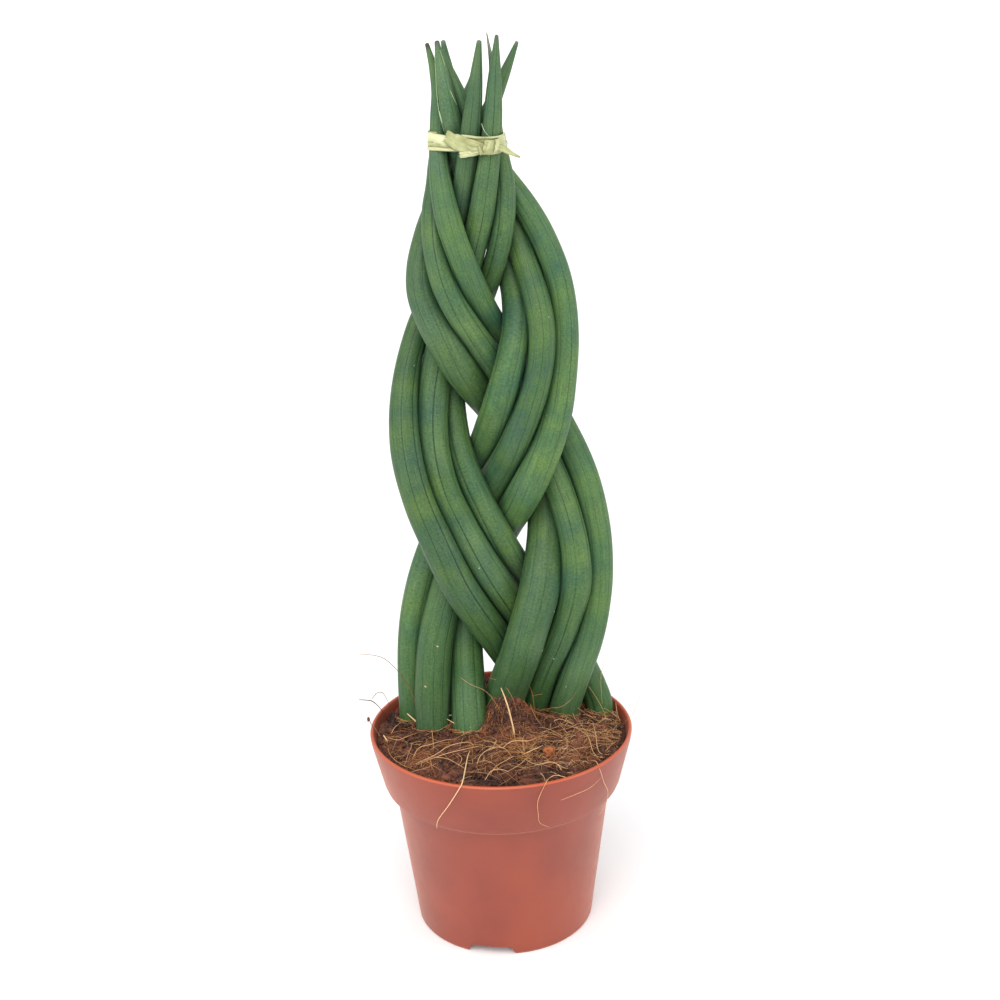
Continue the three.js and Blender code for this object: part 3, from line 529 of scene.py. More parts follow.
def leaf_skin(settings):
    """Sansevieria skin: a thick waxy cuticle over fibres, satin, with fine lengthwise grain."""
    material, add, shader = new_material("sansevieria_skin")
    places = add("TexCoord")["Object"]
    height = add("SeparateXYZ", {"Vector": places})["Z"]
    uv = add("UVMap", uv_map="skin")["UV"]
    across = add("SeparateXYZ", {"Vector": uv})["X"]
    in_mm = add("Mapping", {"Vector": uv, "Scale": (5.0, 1000, 1)})[0]

    # Soft patches 10 to 25 mm long, and fainter cross bands.
    patches = add("TexNoise", {"Vector": places, "Scale": 52.0, "Detail": 6.0, "Roughness": 0.62})["Fac"]
    banding = add("Mapping", {"Vector": uv, "Scale": (0.25, 75, 1)})[0]
    bands = add("TexNoise", {"Vector": banding, "Scale": 1.0, "Detail": 4.0, "Roughness": 0.6})["Fac"]
    both = add("Math", {0: bands, 1: 0.35, 2: patches}, operation="MULTIPLY_ADD")[0]
    shades = [(0.46, settings.deep_green), (0.67, settings.green), (0.91, settings.light_green)]
    base = add("ValToRGB", {"Fac": both}, stops=shades)[0]

    # Fresh green above the coir; greyer where the wax is thick and towards the tips.
    foot = {"Value": height, "From Min": 0.105, "From Max": 0.19, "To Min": 0.8, "To Max": 0.0}
    footed = add("MapRange", foot, interpolation_type="SMOOTHSTEP")[0]
    fresh = add("Mix", {0: footed, MIX_A: base, MIX_B: settings.foot_green}, data_type="RGBA")[MIXED]
    wax = add("TexNoise", {"Vector": places, "Scale": 19.0, "Detail": 2.0})["Fac"]
    aloft = add("MapRange", {"Value": height, "From Min": 0.33, "From Max": 0.42, "To Max": 0.16})[0]
    waxed = add("MapRange", {"Value": wax, "From Min": 0.5, "From Max": 0.72, "To Max": 0.3})[0]
    bloom = add("Math", {0: aloft, 1: waxed}, operation="ADD")[0]
    bloomed = add("Mix", {0: bloom, MIX_A: fresh, MIX_B: settings.bloom}, data_type="RGBA")[MIXED]

    # Grain: the fibres under the skin, drawn about 0.7 mm wide so that they show, and pores.
    grain_at = add("Mapping", {"Vector": in_mm, "Scale": (1.5, 0.06, 1)})[0]
    grain = add("TexNoise", {"Vector": grain_at, "Scale": 1.0, "Detail": 5.0, "Roughness": 0.75})["Fac"]
    pores = add("TexNoise", {"Vector": in_mm, "Scale": 1.1, "Detail": 4.0, "Roughness": 0.75})["Fac"]
    fine = add("Math", {0: pores, 1: 1.4, 2: grain}, operation="MULTIPLY_ADD")[0]
    tone = {"Value": fine, "From Min": 0.9, "From Max": 1.5, "To Min": 0.6, "To Max": 1.4}
    lightness = add("Attribute", attribute_name="lightness")["Fac"]
    depth = add("Math", {0: add("MapRange", tone)[0], 1: lightness}, operation="MULTIPLY")[0]
    toned = add(
        "Mix", {0: 1.0, MIX_A: bloomed, MIX_B: depth}, data_type="RGBA", blend_type="MULTIPLY"
    )[MIXED]

    # Painted shade: where a leaf lies close to its neighbour, the skin is painted dark and bluish, for the
    # shade between them.
    painted_contact_shade = add("Attribute", attribute_name="painted_contact_shade")["Fac"]
    contact_shading = add("Mix", {0: painted_contact_shade, MIX_A: toned, MIX_B: settings.painted_contact_shade_green}, data_type="RGBA")[MIXED]

    # Fine dark lines run along the furrows. Each has its own strength, and fades and breaks.
    offset = add("Math", {0: across, 1: 0.5}, operation="PINGPONG")[0]
    thin = {"Value": offset, "From Min": 0.012, "From Max": 0.075, "To Min": 1.0, "To Max": 0.0}
    line = add("MapRange", thin, interpolation_type="SMOOTHSTEP")[0]
    number = add("Math", {0: across}, operation="ROUND")[0]
    own = add("TexWhiteNoise", {"W": number}, noise_dimensions="1D")["Value"]
    strong = add("MapRange", {"Value": own, "From Min": 0.2, "From Max": 0.7, "To Min": 0.45})[0]
    fade_at = add("Mapping", {"Vector": uv, "Scale": (3, 24, 1)})[0]
    fade = add("TexNoise", {"Vector": fade_at, "Scale": 1.0, "Detail": 2.0})["Fac"]
    fading = add("MapRange", {"Value": fade, "From Min": 0.36, "From Max": 0.5, "To Min": 0.35})[0]
    breaks = add("TexNoise", {"Vector": in_mm, "Scale": 0.8, "Detail": 2.0})["Fac"]
    broken = add("MapRange", {"Value": breaks, "From Min": 0.3, "From Max": 0.5, "To Min": 0.35})[0]
    steady = add("Math", {0: fading, 1: broken}, operation="MULTIPLY")[0]
    kept = add("Math", {0: steady, 1: strong}, operation="MULTIPLY")[0]
    lines = add("Math", {0: line, 1: kept}, operation="MULTIPLY")[0]
    drawn = add("Math", {0: lines, 1: 0.85}, operation="MULTIPLY")[0]
    lined = add("Mix", {0: drawn, MIX_A: contact_shading, MIX_B: settings.line_green}, data_type="RGBA")[MIXED]

    # Pin-head specks of lime every centimetre or so, and healed nicks near the foot.
    cells = add("TexVoronoi", {"Vector": in_mm, "Scale": 0.17})
    near = {"Value": cells["Distance"], "From Min": 0.03, "From Max": 0.07, "To Min": 1.0, "To Max": 0.0}
    chosen = add("SeparateColor", {"Color": cells["Color"]})[0]
    some = add("Math", {0: chosen, 1: 0.82}, operation="GREATER_THAN")[0]
    specks = add("Math", {0: add("MapRange", near)[0], 1: some}, operation="MULTIPLY")[0]
    pale = add("Math", {0: specks, 1: 0.7}, operation="MULTIPLY")[0]
    specked = add("Mix", {0: pale, MIX_A: lined, MIX_B: settings.dry_grey}, data_type="RGBA")[MIXED]
    nick_at = add("Mapping", {"Vector": in_mm, "Scale": (0.045, 0.06, 1)})[0]
    nicks = add("TexVoronoi", {"Vector": nick_at, "Scale": 1.0})
    close = {"Value": nicks["Distance"], "From Min": 0.017, "From Max": 0.034, "To Min": 1.0, "To Max": 0.0}
    picked = add("SeparateColor", {"Color": nicks["Color"]})[1]
    rarer = {"Value": height, "From Min": 0.11, "From Max": 0.3, "To Min": 0.5, "To Max": 1.05}
    few = add("MapRange", rarer)[0]
    here = add("Math", {0: picked, 1: few}, operation="GREATER_THAN")[0]
    scars = add("Math", {0: add("MapRange", close)[0], 1: here}, operation="MULTIPLY")[0]
    scarred = add("Mix", {0: scars, MIX_A: specked, MIX_B: settings.scar}, data_type="RGBA")[MIXED]

    # The end of each leaf has dried to a hard point, dark brown or weathered grey.
    dryness = add("Attribute", attribute_name="dry")["Fac"]
    paleness = add("Attribute", attribute_name="pale")["Fac"]
    weathered = {0: paleness, MIX_A: settings.dry_brown, MIX_B: settings.dry_grey}
    husk = add("Mix", weathered, data_type="RGBA")[MIXED]
    dried = add("Mix", {0: dryness, MIX_A: scarred, MIX_B: husk}, data_type="RGBA")[MIXED]
    satin = {"Value": fine, "From Min": 0.9, "From Max": 1.5, "To Min": 0.42, "To Max": 0.56}
    gloss = add("MapRange", satin)[0]
    relief = add("Math", {0: lines, 1: -0.8, 2: fine}, operation="MULTIPLY_ADD")[0]
    bump = add("Bump", {"Height": relief, "Strength": 0.45, "Distance": 0.1 * MM})[0]
    fill(shader, {
        "Base Color": dried,
        "Roughness": gloss,
        "Normal": bump,
        "IOR": 1.42,
        "Specular IOR Level": 0.32,
    })
    return material


def dry_cuticle(settings):
    """Cuticle that has split off and dried: papery, matt and yellowish white."""
    material, add, shader = new_material("dried_cuticle")
    places = add("TexCoord")["Object"]
    mottle = add("TexNoise", {"Vector": places, "Scale": 420.0, "Detail": 3.0})["Fac"]
    shades = [(0.25, settings.light_green), (0.45, settings.dry_white)]
    base = add("ValToRGB", {"Fac": mottle}, stops=shades)[0]
    bump = add("Bump", {"Height": mottle, "Strength": 0.4, "Distance": 0.1 * MM})[0]
    fill(shader, {"Base Color": base, "Normal": bump, "Roughness": 0.7})
    return material


def pot_plastic(settings):
    """Injection-moulded polypropylene: satin, cloudy pigment, and a rim painted brighter, a painted glow of
    light through the thin plastic.
    """
    material, add, shader = new_material("terracotta_polypropylene")
    places = add("TexCoord")["Object"]
    clouds = add("TexNoise", {"Vector": places, "Scale": 30.0, "Detail": 5.0})["Fac"]
    shades = [(0.35, settings.plastic_deep), (0.6, settings.plastic)]
    base = add("ValToRGB", {"Fac": clouds}, stops=shades)[0]
    drift = add("TexNoise", {"Vector": places, "Scale": 17.0, "Detail": 3.0})["Fac"]
    warmth = add("MapRange", {"Value": drift, "From Min": 0.48, "From Max": 0.68, "To Max": 0.45})[0]
    warm = add("Mix", {0: warmth, MIX_A: base, MIX_B: settings.plastic_warm}, data_type="RGBA")[MIXED]
    height = add("SeparateXYZ", {"Vector": places})["Z"]
    # The top millimetre, the thin rim, is painted brighter: a painted glow of light through the plastic.
    lip_glow_span = {"Value": height, "From Min": (POT_HEIGHT - 1.0) * MM, "From Max": (POT_HEIGHT - 0.6) * MM}
    lip_glow = add("MapRange", lip_glow_span)[0]
    rimmed = add("Mix", {0: lip_glow, MIX_A: warm, MIX_B: settings.plastic_lip_glow}, data_type="RGBA")[MIXED]
    # Dust and dried splashes: dull spots a few millimetres wide.
    dust = add("TexNoise", {"Vector": places, "Scale": 160.0, "Detail": 6.0})["Fac"]
    gloss = add("MapRange", {"Value": dust, "To Min": 0.34, "To Max": 0.5})[0]
    skin = add("TexNoise", {"Vector": places, "Scale": 900.0, "Detail": 3.0})["Fac"]
    bump = add("Bump", {"Height": skin, "Strength": 0.25, "Distance": 0.05 * MM})[0]
    fill(shader, {
        "Base Color": rimmed,
        "Roughness": gloss,
        "Normal": bump,
        "IOR": 1.49,
        "Sheen Weight": 0.26,  # the haze that handling leaves
        "Sheen Tint": (1, 0.46, 0.3, 1),
        "Sheen Roughness": 0.4,
    })
    return material


def coir_pith(settings):
    """Damp coir pith: matt red-brown grains, near black in the pits, their dark partly painted shade and
    partly wet coir.
    """
    material, add, shader = new_material("damp_coir_pith")
    places = add("TexCoord")["Object"]
    grains = add("TexNoise", {"Vector": places, "Scale": 520.0, "Detail": 6.0, "Roughness": 0.75})["Fac"]
    clods = add("TexNoise", {"Vector": places, "Scale": 75.0, "Detail": 5.0})["Fac"]
    both = add("Math", {0: grains, 1: clods}, operation="ADD")[0]
    halved = add("Math", {0: both, 1: 0.5}, operation="MULTIPLY")[0]
    # The darkest stop falls mostly where the bump sinks into pits: painted shade there, besides wetter coir.
    shades = [(0.41, settings.coir_dark), (0.49, settings.coir), (0.58, settings.coir_red)]
    base = add("ValToRGB", {"Fac": halved}, stops=shades)[0]
    bump = add("Bump", {"Height": grains, "Strength": 0.9, "Distance": 0.6 * MM})[0]
    fill(shader, {"Base Color": base, "Normal": bump, "Roughness": 0.92, "Specular IOR Level": 0.3})
    return material


def husk_chip(settings):
    """Bare coconut husk: corky, orange-brown and matt."""
    material, add, shader = new_material("coconut_husk")
    places = add("TexCoord")["Object"]
    cork = add("TexNoise", {"Vector": places, "Scale": 700.0, "Detail": 4.0})["Fac"]
    shades = [(0.36, settings.coir), (0.54, settings.chip)]
    base = add("ValToRGB", {"Fac": cork}, stops=shades)[0]
    bump = add("Bump", {"Height": cork, "Strength": 0.8, "Distance": 0.4 * MM})[0]
    fill(shader, {"Base Color": base, "Normal": bump, "Roughness": 0.85})
    return material


def coir_fibre(settings):
    """Coconut fibre: dry, hard and slightly shiny, from dark brown to straw."""
    material, add, shader = new_material("coconut_fibre")
    tone = add("Attribute", attribute_name="tone")["Fac"]
    places = add("TexCoord")["Object"]
    mottle = add("TexNoise", {"Vector": places, "Scale": 300.0, "Detail": 2.0})["Fac"]
    spread = add("Math", {0: mottle, 1: 0.3, 2: -0.15}, operation="MULTIPLY_ADD")[0]
    varied = add("Math", {0: spread, 1: tone}, operation="ADD")[0]
    shades = [(0.05, settings.fibre_dark), (0.6, settings.fibre_tan), (1.0, settings.fibre_pale)]
    base = add("ValToRGB", {"Fac": varied}, stops=shades)[0]
    bump = add("Bump", {"Height": mottle, "Strength": 0.4, "Distance": 0.1 * MM})[0]
    fill(shader, {"Base Color": base, "Normal": bump, "Roughness": 0.55})
    return material


def raffia_straw(settings):
    """Raffia: a dry palm strip, pale yellow-green, split lengthwise by its own fibres."""
    material, add, shader = new_material("raffia_straw")
    uv = add("UVMap", uv_map="strip")["UV"]
    tone = add("Attribute", attribute_name="tone")["Fac"]
    edge = add("Attribute", attribute_name="edge")["Fac"]
    grain_at = add("Mapping", {"Vector": uv, "Scale": (2600, 70, 1)})[0]
    grain = add("TexNoise", {"Vector": grain_at, "Scale": 1.0, "Detail": 4.0, "Roughness": 0.65})["Fac"]
    stain_at = add("Mapping", {"Vector": uv, "Scale": (260, 160, 1)})[0]
    stain = add("TexNoise", {"Vector": stain_at, "Scale": 1.0, "Detail": 3.0})["Fac"]
    both = add("Math", {0: grain, 1: stain}, operation="ADD")[0]
    centred = add("Math", {0: both, 1: 0.62, 2: -0.62}, operation="MULTIPLY_ADD")[0]
    varied = add("Math", {0: centred, 1: tone}, operation="ADD")[0]
    shades = [(0.2, settings.shade), (0.55, settings.pale), (0.85, settings.white)]
    base = add("ValToRGB", {"Fac": varied}, stops=shades)[0]
    # Reddish split edges, in part a painted shadow line where the strips overlap.
    rust_and_shadow_mask = add("Math", {0: edge, 1: stain}, operation="MULTIPLY")[0]
    edged = add("Mix", {0: rust_and_shadow_mask, MIX_A: base, MIX_B: settings.rust_and_shadow}, data_type="RGBA")[MIXED]
    bump = add("Bump", {"Height": grain, "Strength": 0.7, "Distance": 0.16 * MM})[0]
    fill(shader, {"Base Color": edged, "Normal": bump, "Roughness": 0.42})
    return material


def plain_material(name, code, roughness):
    """A material for the stage: one colour with a trace of unevenness."""
    material, add, shader = new_material(name)
    places = add("TexCoord")["Object"]
    drift = add("TexNoise", {"Vector": places, "Scale": 2.0})["Fac"]
    gloss = add("MapRange", {"Value": drift, "To Min": roughness, "To Max": roughness + 0.02})[0]
    fill(shader, {"Roughness": gloss, "Base Color": srgb(code)})
    return material


# ---------------------------------------------------------------- shapes


def clamp(value):
    """The value, kept between 0 and 1."""
    return max(0.0, min(1.0, value))


def in_metres(spots):
    """Points in metres of places in millimetres."""
    return [Vector(spot) * MM for spot in spots]


def along(points, t):
    """The value at t, from 0 to 1, of the smooth curve through evenly spaced points."""
    place = t * (len(points) - 1)
    i = min(int(place), len(points) - 2)
    f = place - i
    a, b = points[max(i - 1, 0)], points[i]
    c, d = points[i + 1], points[min(i + 2, len(points) - 1)]
    return 0.5 * (2 * b + (c - a) * f + (2 * a - 5 * b + 4 * c - d) * f * f + (3 * b - a - 3 * c + d) * f**3)


def length_of(points):
    """The length of the line through points."""
    return sum((b - a).to_3d().length for a, b in zip(points, points[1:]))


def heading_at(points, t):
    """The direction of a curve at t."""
    ahead, behind = along(points, min(t + 0.01, 1)), along(points, max(t - 0.01, 0))
    return (ahead - behind).to_3d().normalized()


def square_to(tangent, direction):
    """The direction nearest to one given that is square to a tangent."""
    return (direction - tangent * direction.dot(tangent)).normalized()


def axes_at(points, t, side):
    """The point at t on a curve, and the directions across and outwards from it."""
    tangent = heading_at(points, t)
    across = square_to(tangent, side)
    return along(points, t).to_3d(), across, across.cross(tangent).normalized()


def turned(profile, steps, unit=MM):
    """A bmesh turned about the upright axis from the radii and heights of its outline."""
    bm = bmesh.new()
    outline = [bm.verts.new((radius * unit, 0, z * unit)) for radius, z in profile]
    edges = [bm.edges.new(pair) for pair in zip(outline, outline[1:])]
    bmesh.ops.spin(
        bm, geom=outline + edges, cent=(0, 0, 0), axis=(0, 0, 1), angle=FULL_TURN, steps=steps, use_merge=True
    )
    bmesh.ops.remove_doubles(bm, verts=bm.verts, dist=0.01 * MM)
    return bm


def mesh_of(bm, name):
    """The finished mesh of a bmesh, which is freed."""
    mesh = bpy.data.meshes.new(name)
    bm.to_mesh(mesh)
    bm.free()
    return mesh


def placed(name, data):
    """A new object in the scene, of a mesh, a camera or a light."""
    made = bpy.data.objects.new(name, data)
    bpy.context.scene.collection.objects.link(made)
    return made


def unit_tube(bm, sides, lengths):
    """A closed upright tube of radius 1, from z 0 to 1, cut into lengths."""
    up = Matrix.Translation((0, 0, 0.5))
    bmesh.ops.create_cone(bm, cap_ends=True, segments=sides, radius1=1, radius2=1, depth=1, matrix=up)
    upright = [e for e in bm.edges if abs(e.verts[0].co.z - e.verts[1].co.z) > 0.5]
    bmesh.ops.subdivide_edges(bm, edges=upright, cuts=lengths - 1, use_grid_fill=True)


class Strand:
    """A thin straight tube that is bent along a path and added to a mesh, again and again."""

    SIDE = Vector((0.3, 0.2, 1))  # what the tube's own X leans towards, all along a path

    def __init__(self, sides, lengths):
        bm = bmesh.new()
        unit_tube(bm, sides, lengths)
        bm.verts.layers.float.new("tone")
        self.mesh = mesh_of(bm, "strand")
        self.rest = [vert.co.copy() for vert in self.mesh.vertices]

    def lay(self, bm, path, thickness, tone):
        """Adds one strand along a path, thinner towards its ends."""
        axes = {}
        moved = []
        for rest in self.rest:
            key = round(rest.z, 4)
            if key not in axes:
                axes[key] = axes_at(path, rest.z, self.SIDE)
            centre, across, outward = axes[key]
            taper = 0.4 + 0.6 * math.sin(math.pi * min(1, 0.15 + 0.85 * rest.z))
            moved.extend(centre + (across * rest.x + outward * rest.y) * thickness * 0.5 * taper)
        self.mesh.vertices.foreach_set("co", moved)
        self.mesh.attributes["tone"].data.foreach_set("value", [tone] * len(self.rest))
        bm.from_mesh(self.mesh)

    def drop(self):
        """Removes the mesh that the strands were bent from."""
        bpy.data.meshes.remove(self.mesh)


def piece_of(bm, name, material, nodes):
    """Makes a finished object of a bmesh: it rides with the plant and stands for its solids."""
    mesh = mesh_of(bm, name)
    mesh.materials.append(material)
    mesh.shade_smooth()
    piece = placed(name, mesh)
    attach(piece, BODY)
    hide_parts(*nodes)
    return piece


def leaf_rings(name):
    """Centre and radius of each ring of a leaf's solid, from its tip to its root."""
    bm = bmesh.new()
    bm.from_mesh(frame["nodes"][name].data)
    bmesh.ops.remove_doubles(bm, verts=bm.verts, dist=0.01 * MM)
    poles = [v for v in bm.verts if len(v.link_edges) == LEAF_SOLID_SIDES]
    ring = {max(poles, key=lambda v: v.co.z)}
    seen = set(ring)
    rings = []
    while ring:
        ring = {edge.other_vert(v) for v in ring for edge in v.link_edges} - seen
        seen |= ring
        if len(ring) < LEAF_SOLID_SIDES:
            break
        centre = sum((v.co for v in ring), Vector()) / len(ring)
        radius = max((v.co - centre).length for v in ring)
        rings.append(Vector((*centre, radius)))
    bm.free()
    if len(rings) < LEAF_SOLID_SIDES:
        raise RuntimeError(f"{name} isn't ringed as a leaf is")
    return rings


def fine_line(rings):
    """A leaf's centre line and radius in many small steps."""
    return [along(rings, i / LINE_STEPS) for i in range(LINE_STEPS + 1)]


def fullness(name, height):
    """How much fuller a leaf is than its solid at a height; all in millimetres."""
    places = FULLER.get(name, ())
    return sum(more * math.exp(-(((height - z) / spread) ** 2)) for z, more, spread in places)


def soil_height(x, y):
    """Height of the coir, without its grains, at a point; all in millimetres."""
    inside = 1 - (min(math.hypot(x, y), POT_RIM_RADIUS) / POT_RIM_RADIUS) ** SOIL_CROWN_POWER
    dx = (x - CLUMP_CENTRE[0]) / CLUMP_SPREAD[0]
    dy = (y - CLUMP_CENTRE[1]) / CLUMP_SPREAD[1]
    clump = CLUMP_HEIGHT * math.exp(-dx * dx - dy * dy)
    for mound_x, mound_y, rise, spread in MOUNDS:
        clump += rise * math.exp(-((x - mound_x) ** 2 + (y - mound_y) ** 2) / spread**2)
    broad = math.sin(x * 0.21 + 1.3) * math.cos(y * 0.17 - 0.6)
    return SOIL_LEVEL + (SOIL_CROWN + clump) * inside + broad * min(1, 2 * inside)


def heap_share(x, y):
    """How near a place in millimetres is to the heap's top: 1 there, and 0 far off."""
    return math.exp(-((x - HEAP[0]) ** 2 + (y - HEAP[1]) ** 2) / (2 * HEAP[3] ** 2))


def ground(x, y, above=0.0):
    """A point on or above the coir's surface, in metres, of a place in millimetres."""
    return Vector((x, y, soil_height(x, y) + above)) * MM


# ---------------------------------------------------------------- operators


def settings_of(context):
    """The plant's settings in the scene."""
    return context.scene.snake_plant


class SNAKEPLANT_OT_leaves(bpy.types.Operator):
    """Build the nine leaves round their solids' centre lines"""

    bl_idname = "snake_plant.leaves"
    bl_label = "Leaves"

    def execute(self, context):
        settings = settings_of(context).leaf
        material = leaf_skin(settings)
        rings = {name: leaf_rings(name) for name in LEAVES}
        for i, name in enumerate(LEAVES):
            others = [rings[other] for other in LEAVES if other != name]
            self.leaf(name, i, rings[name], self.neighbours(others), settings, material)
        self.margins(settings)
        return {"FINISHED"}

    def margins(self, settings):
        """The papery slivers that have split from the edges of leaf b1."""
        sliver = Strand(4, 24)
        bm = bmesh.new()
        for width, spots in MARGINS:
            sliver.lay(bm, in_metres(spots), width * MM, 1.0)
        sliver.drop()
        piece_of(bm, "dry_slivers_of_leaf_b1", dry_cuticle(settings), ["leaf_b1"])

    def neighbours(self, others):
        """A search tree of the other leaves' centre lines, and their radius at each point."""
        points = [point for rings in others for point in fine_line(rings)]
        tree = KDTree(len(points))
        for i, point in enumerate(points):
            tree.insert(point.to_3d(), i)
        tree.balance()
        return tree, [point.w for point in points]

    def leaf(self, name, number, rings, neighbours, settings, material):
        """One leaf: a fine tube bent along its solid's rings, furrowed and blunt at its tip."""
        tree, widths = neighbours
        draw = random.Random(number)
        phase, leans, waves = draw.random(), draw.random(), draw.random()
        dried, dryness, paleness, narrow, narrowing, lightness = TIPS[name]
        bm = bmesh.new()
        unit_tube(bm, settings.sides, settings.rings)
        skin = bm.loops.layers.uv.new("skin")
        values = ("dry", "pale", "lightness", "painted_contact_shade")
        dry, pale, light, painted_contact_shade = [bm.verts.layers.float.new(value) for value in values]
        whole = length_of(rings)

        def line_place(angle):
            """Place across the skin; the dark lines lie at its whole numbers, unevenly spaced."""
            turn = angle / FULL_TURN + phase
            uneven = 0.4 * math.sin(FULL_TURN * (turn + leans))
            uneven += 0.2 * math.sin(2 * FULL_TURN * (turn + waves))
            return settings.furrows * turn + uneven + number * 20

        for face in bm.faces:
            middle = face.calc_center_median()
            home = math.atan2(middle.y, middle.x)
            for loop in face.loops:
                angle = math.atan2(loop.vert.co.y, loop.vert.co.x)
                angle += FULL_TURN * round((home - angle) / FULL_TURN)
                fall = loop.vert.co.z ** TIP_CROWDING * whole
                loop[skin].uv = (line_place(angle), fall)
        side = Vector((1, 0, 0))
        frames = {}
        for vert in bm.verts:
            t = round(vert.co.z, 5)
            share = t**TIP_CROWDING
            if t not in frames:
                frames[t] = (*axes_at(rings, share, side), along(rings, share).w)
            centre, across, outward, radius = frames[t]
            angle = math.atan2(vert.co.y, vert.co.x)
            fall = share * whole
            slim = min(1, fall / (narrowing * MM))
            swollen = min(1, fall / (SWELL_WITHIN * MM))
            radius = radius * (narrow + (1 - narrow) * slim) + settings.swell * swollen
            if name in LEANING:
                low, aside, spread = LEANING[name]
                centre = centre + side * (aside * MM * math.exp(-(((fall / MM - low) / spread) ** 2)))
            radius += fullness(name, centre.z / MM) * MM
            round_end = min(1, fall / (rings[0].w * narrow))
            radius *= math.sqrt(1 - (1 - round_end) ** 2)
            place = line_place(angle)
            offset = abs(place - round(place))
            furrow = math.exp(-((offset / 0.11) ** 2))
            radius -= settings.furrow_depth * furrow * min(1, radius / (5 * MM))
            lumps = noise.noise((math.cos(angle), math.sin(angle) + number * 7, fall / (16 * MM)))
            radius *= 1 + 0.014 * lumps + 0.01 * math.cos(3 * angle + number)
            vert.co = centre + (across * math.cos(angle) + outward * math.sin(angle)) * radius
            vert[dry] = dryness * clamp(1.8 - 1.8 * fall / (dried * MM))
            vert[pale] = paleness
            vert[light] = lightness
            # Painted contact shade: darker where the skin comes within a few millimetres of another leaf,
            # fainter high up, where the leaves part.
            _, nearest, distance = tree.find(vert.co)
            gap = (distance - widths[nearest]) / MM
            contact_shading = 0.75 * clamp(1 - gap / PAINTED_SHADE_WITHIN) ** 1.5
            aloft = clamp((vert.co.z / MM - CONTACT_SHADE_FADES_ABOVE) / 30)
            vert[painted_contact_shade] = contact_shading * (1 - 0.8 * aloft)
        bmesh.ops.recalc_face_normals(bm, faces=bm.faces)
        piece_of(bm, name.replace("leaf_", "skin_of_leaf_"), material, [name])


class SNAKEPLANT_OT_pot(bpy.types.Operator):
    """Build the moulded pot: its turned wall, foot notches and drain holes"""

    bl_idname = "snake_plant.pot"
    bl_label = "Pot"

    def execute(self, context):
        settings = settings_of(context).pot
        bm = turned(POT_PROFILE, settings.segments)
        bmesh.ops.recalc_face_normals(bm, faces=bm.faces)
        pot = piece_of(bm, "moulded_pot", pot_plastic(settings), ["pot"])
        self.cut(pot, [self.notch(angle) for angle in NOTCH_ANGLES] + self.drains())
        self.round_edges(pot, settings.edge)
        return {"FINISHED"}

    def notch(self, angle):
        """A cutter for one notch in the foot ring: a block that narrows upwards."""
        reach, depth = NOTCH_CUT
        bm = bmesh.new()
        block = Matrix.Diagonal((NOTCH_WIDTH * MM, depth * MM, 2 * NOTCH_HEIGHT * MM, 1))
        bmesh.ops.create_cube(bm, size=1, matrix=block)
        for vert in bm.verts:
            vert.co.x *= 1 - math.copysign(2 * NOTCH_SLOPE / NOTCH_WIDTH, vert.co.z)
            vert.co.y -= reach * MM
        upper = [e for e in bm.edges if all(v.co.z > 0 for v in e.verts)]
        corners = [e for e in upper if e.verts[0].co.x * e.verts[1].co.x > 0]
        bmesh.ops.bevel(
            bm, geom=corners, offset=NOTCH_CORNER * MM, affect="EDGES", segments=4, profile=0.5, material=-1
        )
        bmesh.ops.rotate(bm, verts=bm.verts, matrix=Matrix.Rotation(math.radians(angle + 90), 3, "Z"))
        return bm

    def drains(self):
        """Cutters for the drain holes."""
        cutters = []
        height, depth = DRAIN_CUT
        reach, radius = DRAIN_RING * MM, DRAIN_RADIUS * MM
        for i in range(DRAIN_COUNT):
            angle = (i + 0.5) * FULL_TURN / DRAIN_COUNT
            place = Matrix.Translation((reach * math.cos(angle), reach * math.sin(angle), height * MM))
            bm = bmesh.new()
            bmesh.ops.create_cone(
                bm, cap_ends=True, segments=40, radius1=radius, radius2=radius, depth=depth * MM, matrix=place
            )
            cutters.append(bm)
        return cutters

    def cut(self, pot, cutters):
        """Takes the cutters out of the pot and applies the result to its mesh."""
        objects = []
        for i, bm in enumerate(cutters):
            cutter = placed(f"cutter_{i}", mesh_of(bm, f"cutter_{i}"))
            modifier = pot.modifiers.new("cut", "BOOLEAN")
            modifier.operation = "DIFFERENCE"
            modifier.solver = "EXACT"
            modifier.object = cutter
            objects.append(cutter)
        depsgraph = bpy.context.evaluated_depsgraph_get()
        whole = pot.data
        pot.data = bpy.data.meshes.new_from_object(pot.evaluated_get(depsgraph))
        pot.modifiers.clear()
        bpy.data.meshes.remove(whole)
        for cutter in objects:
            bpy.data.meshes.remove(cutter.data)

    def round_edges(self, pot, width):
        """Rounds the moulded edges and shades the turned wall smooth."""
        bevel = pot.modifiers.new("moulded edges", "BEVEL")
        bevel.limit_method = "ANGLE"
        bevel.angle_limit = math.radians(24)
        bevel.width = width
        bevel.segments = 3
        bevel.use_clamp_overlap = True
        bevel.harden_normals = True


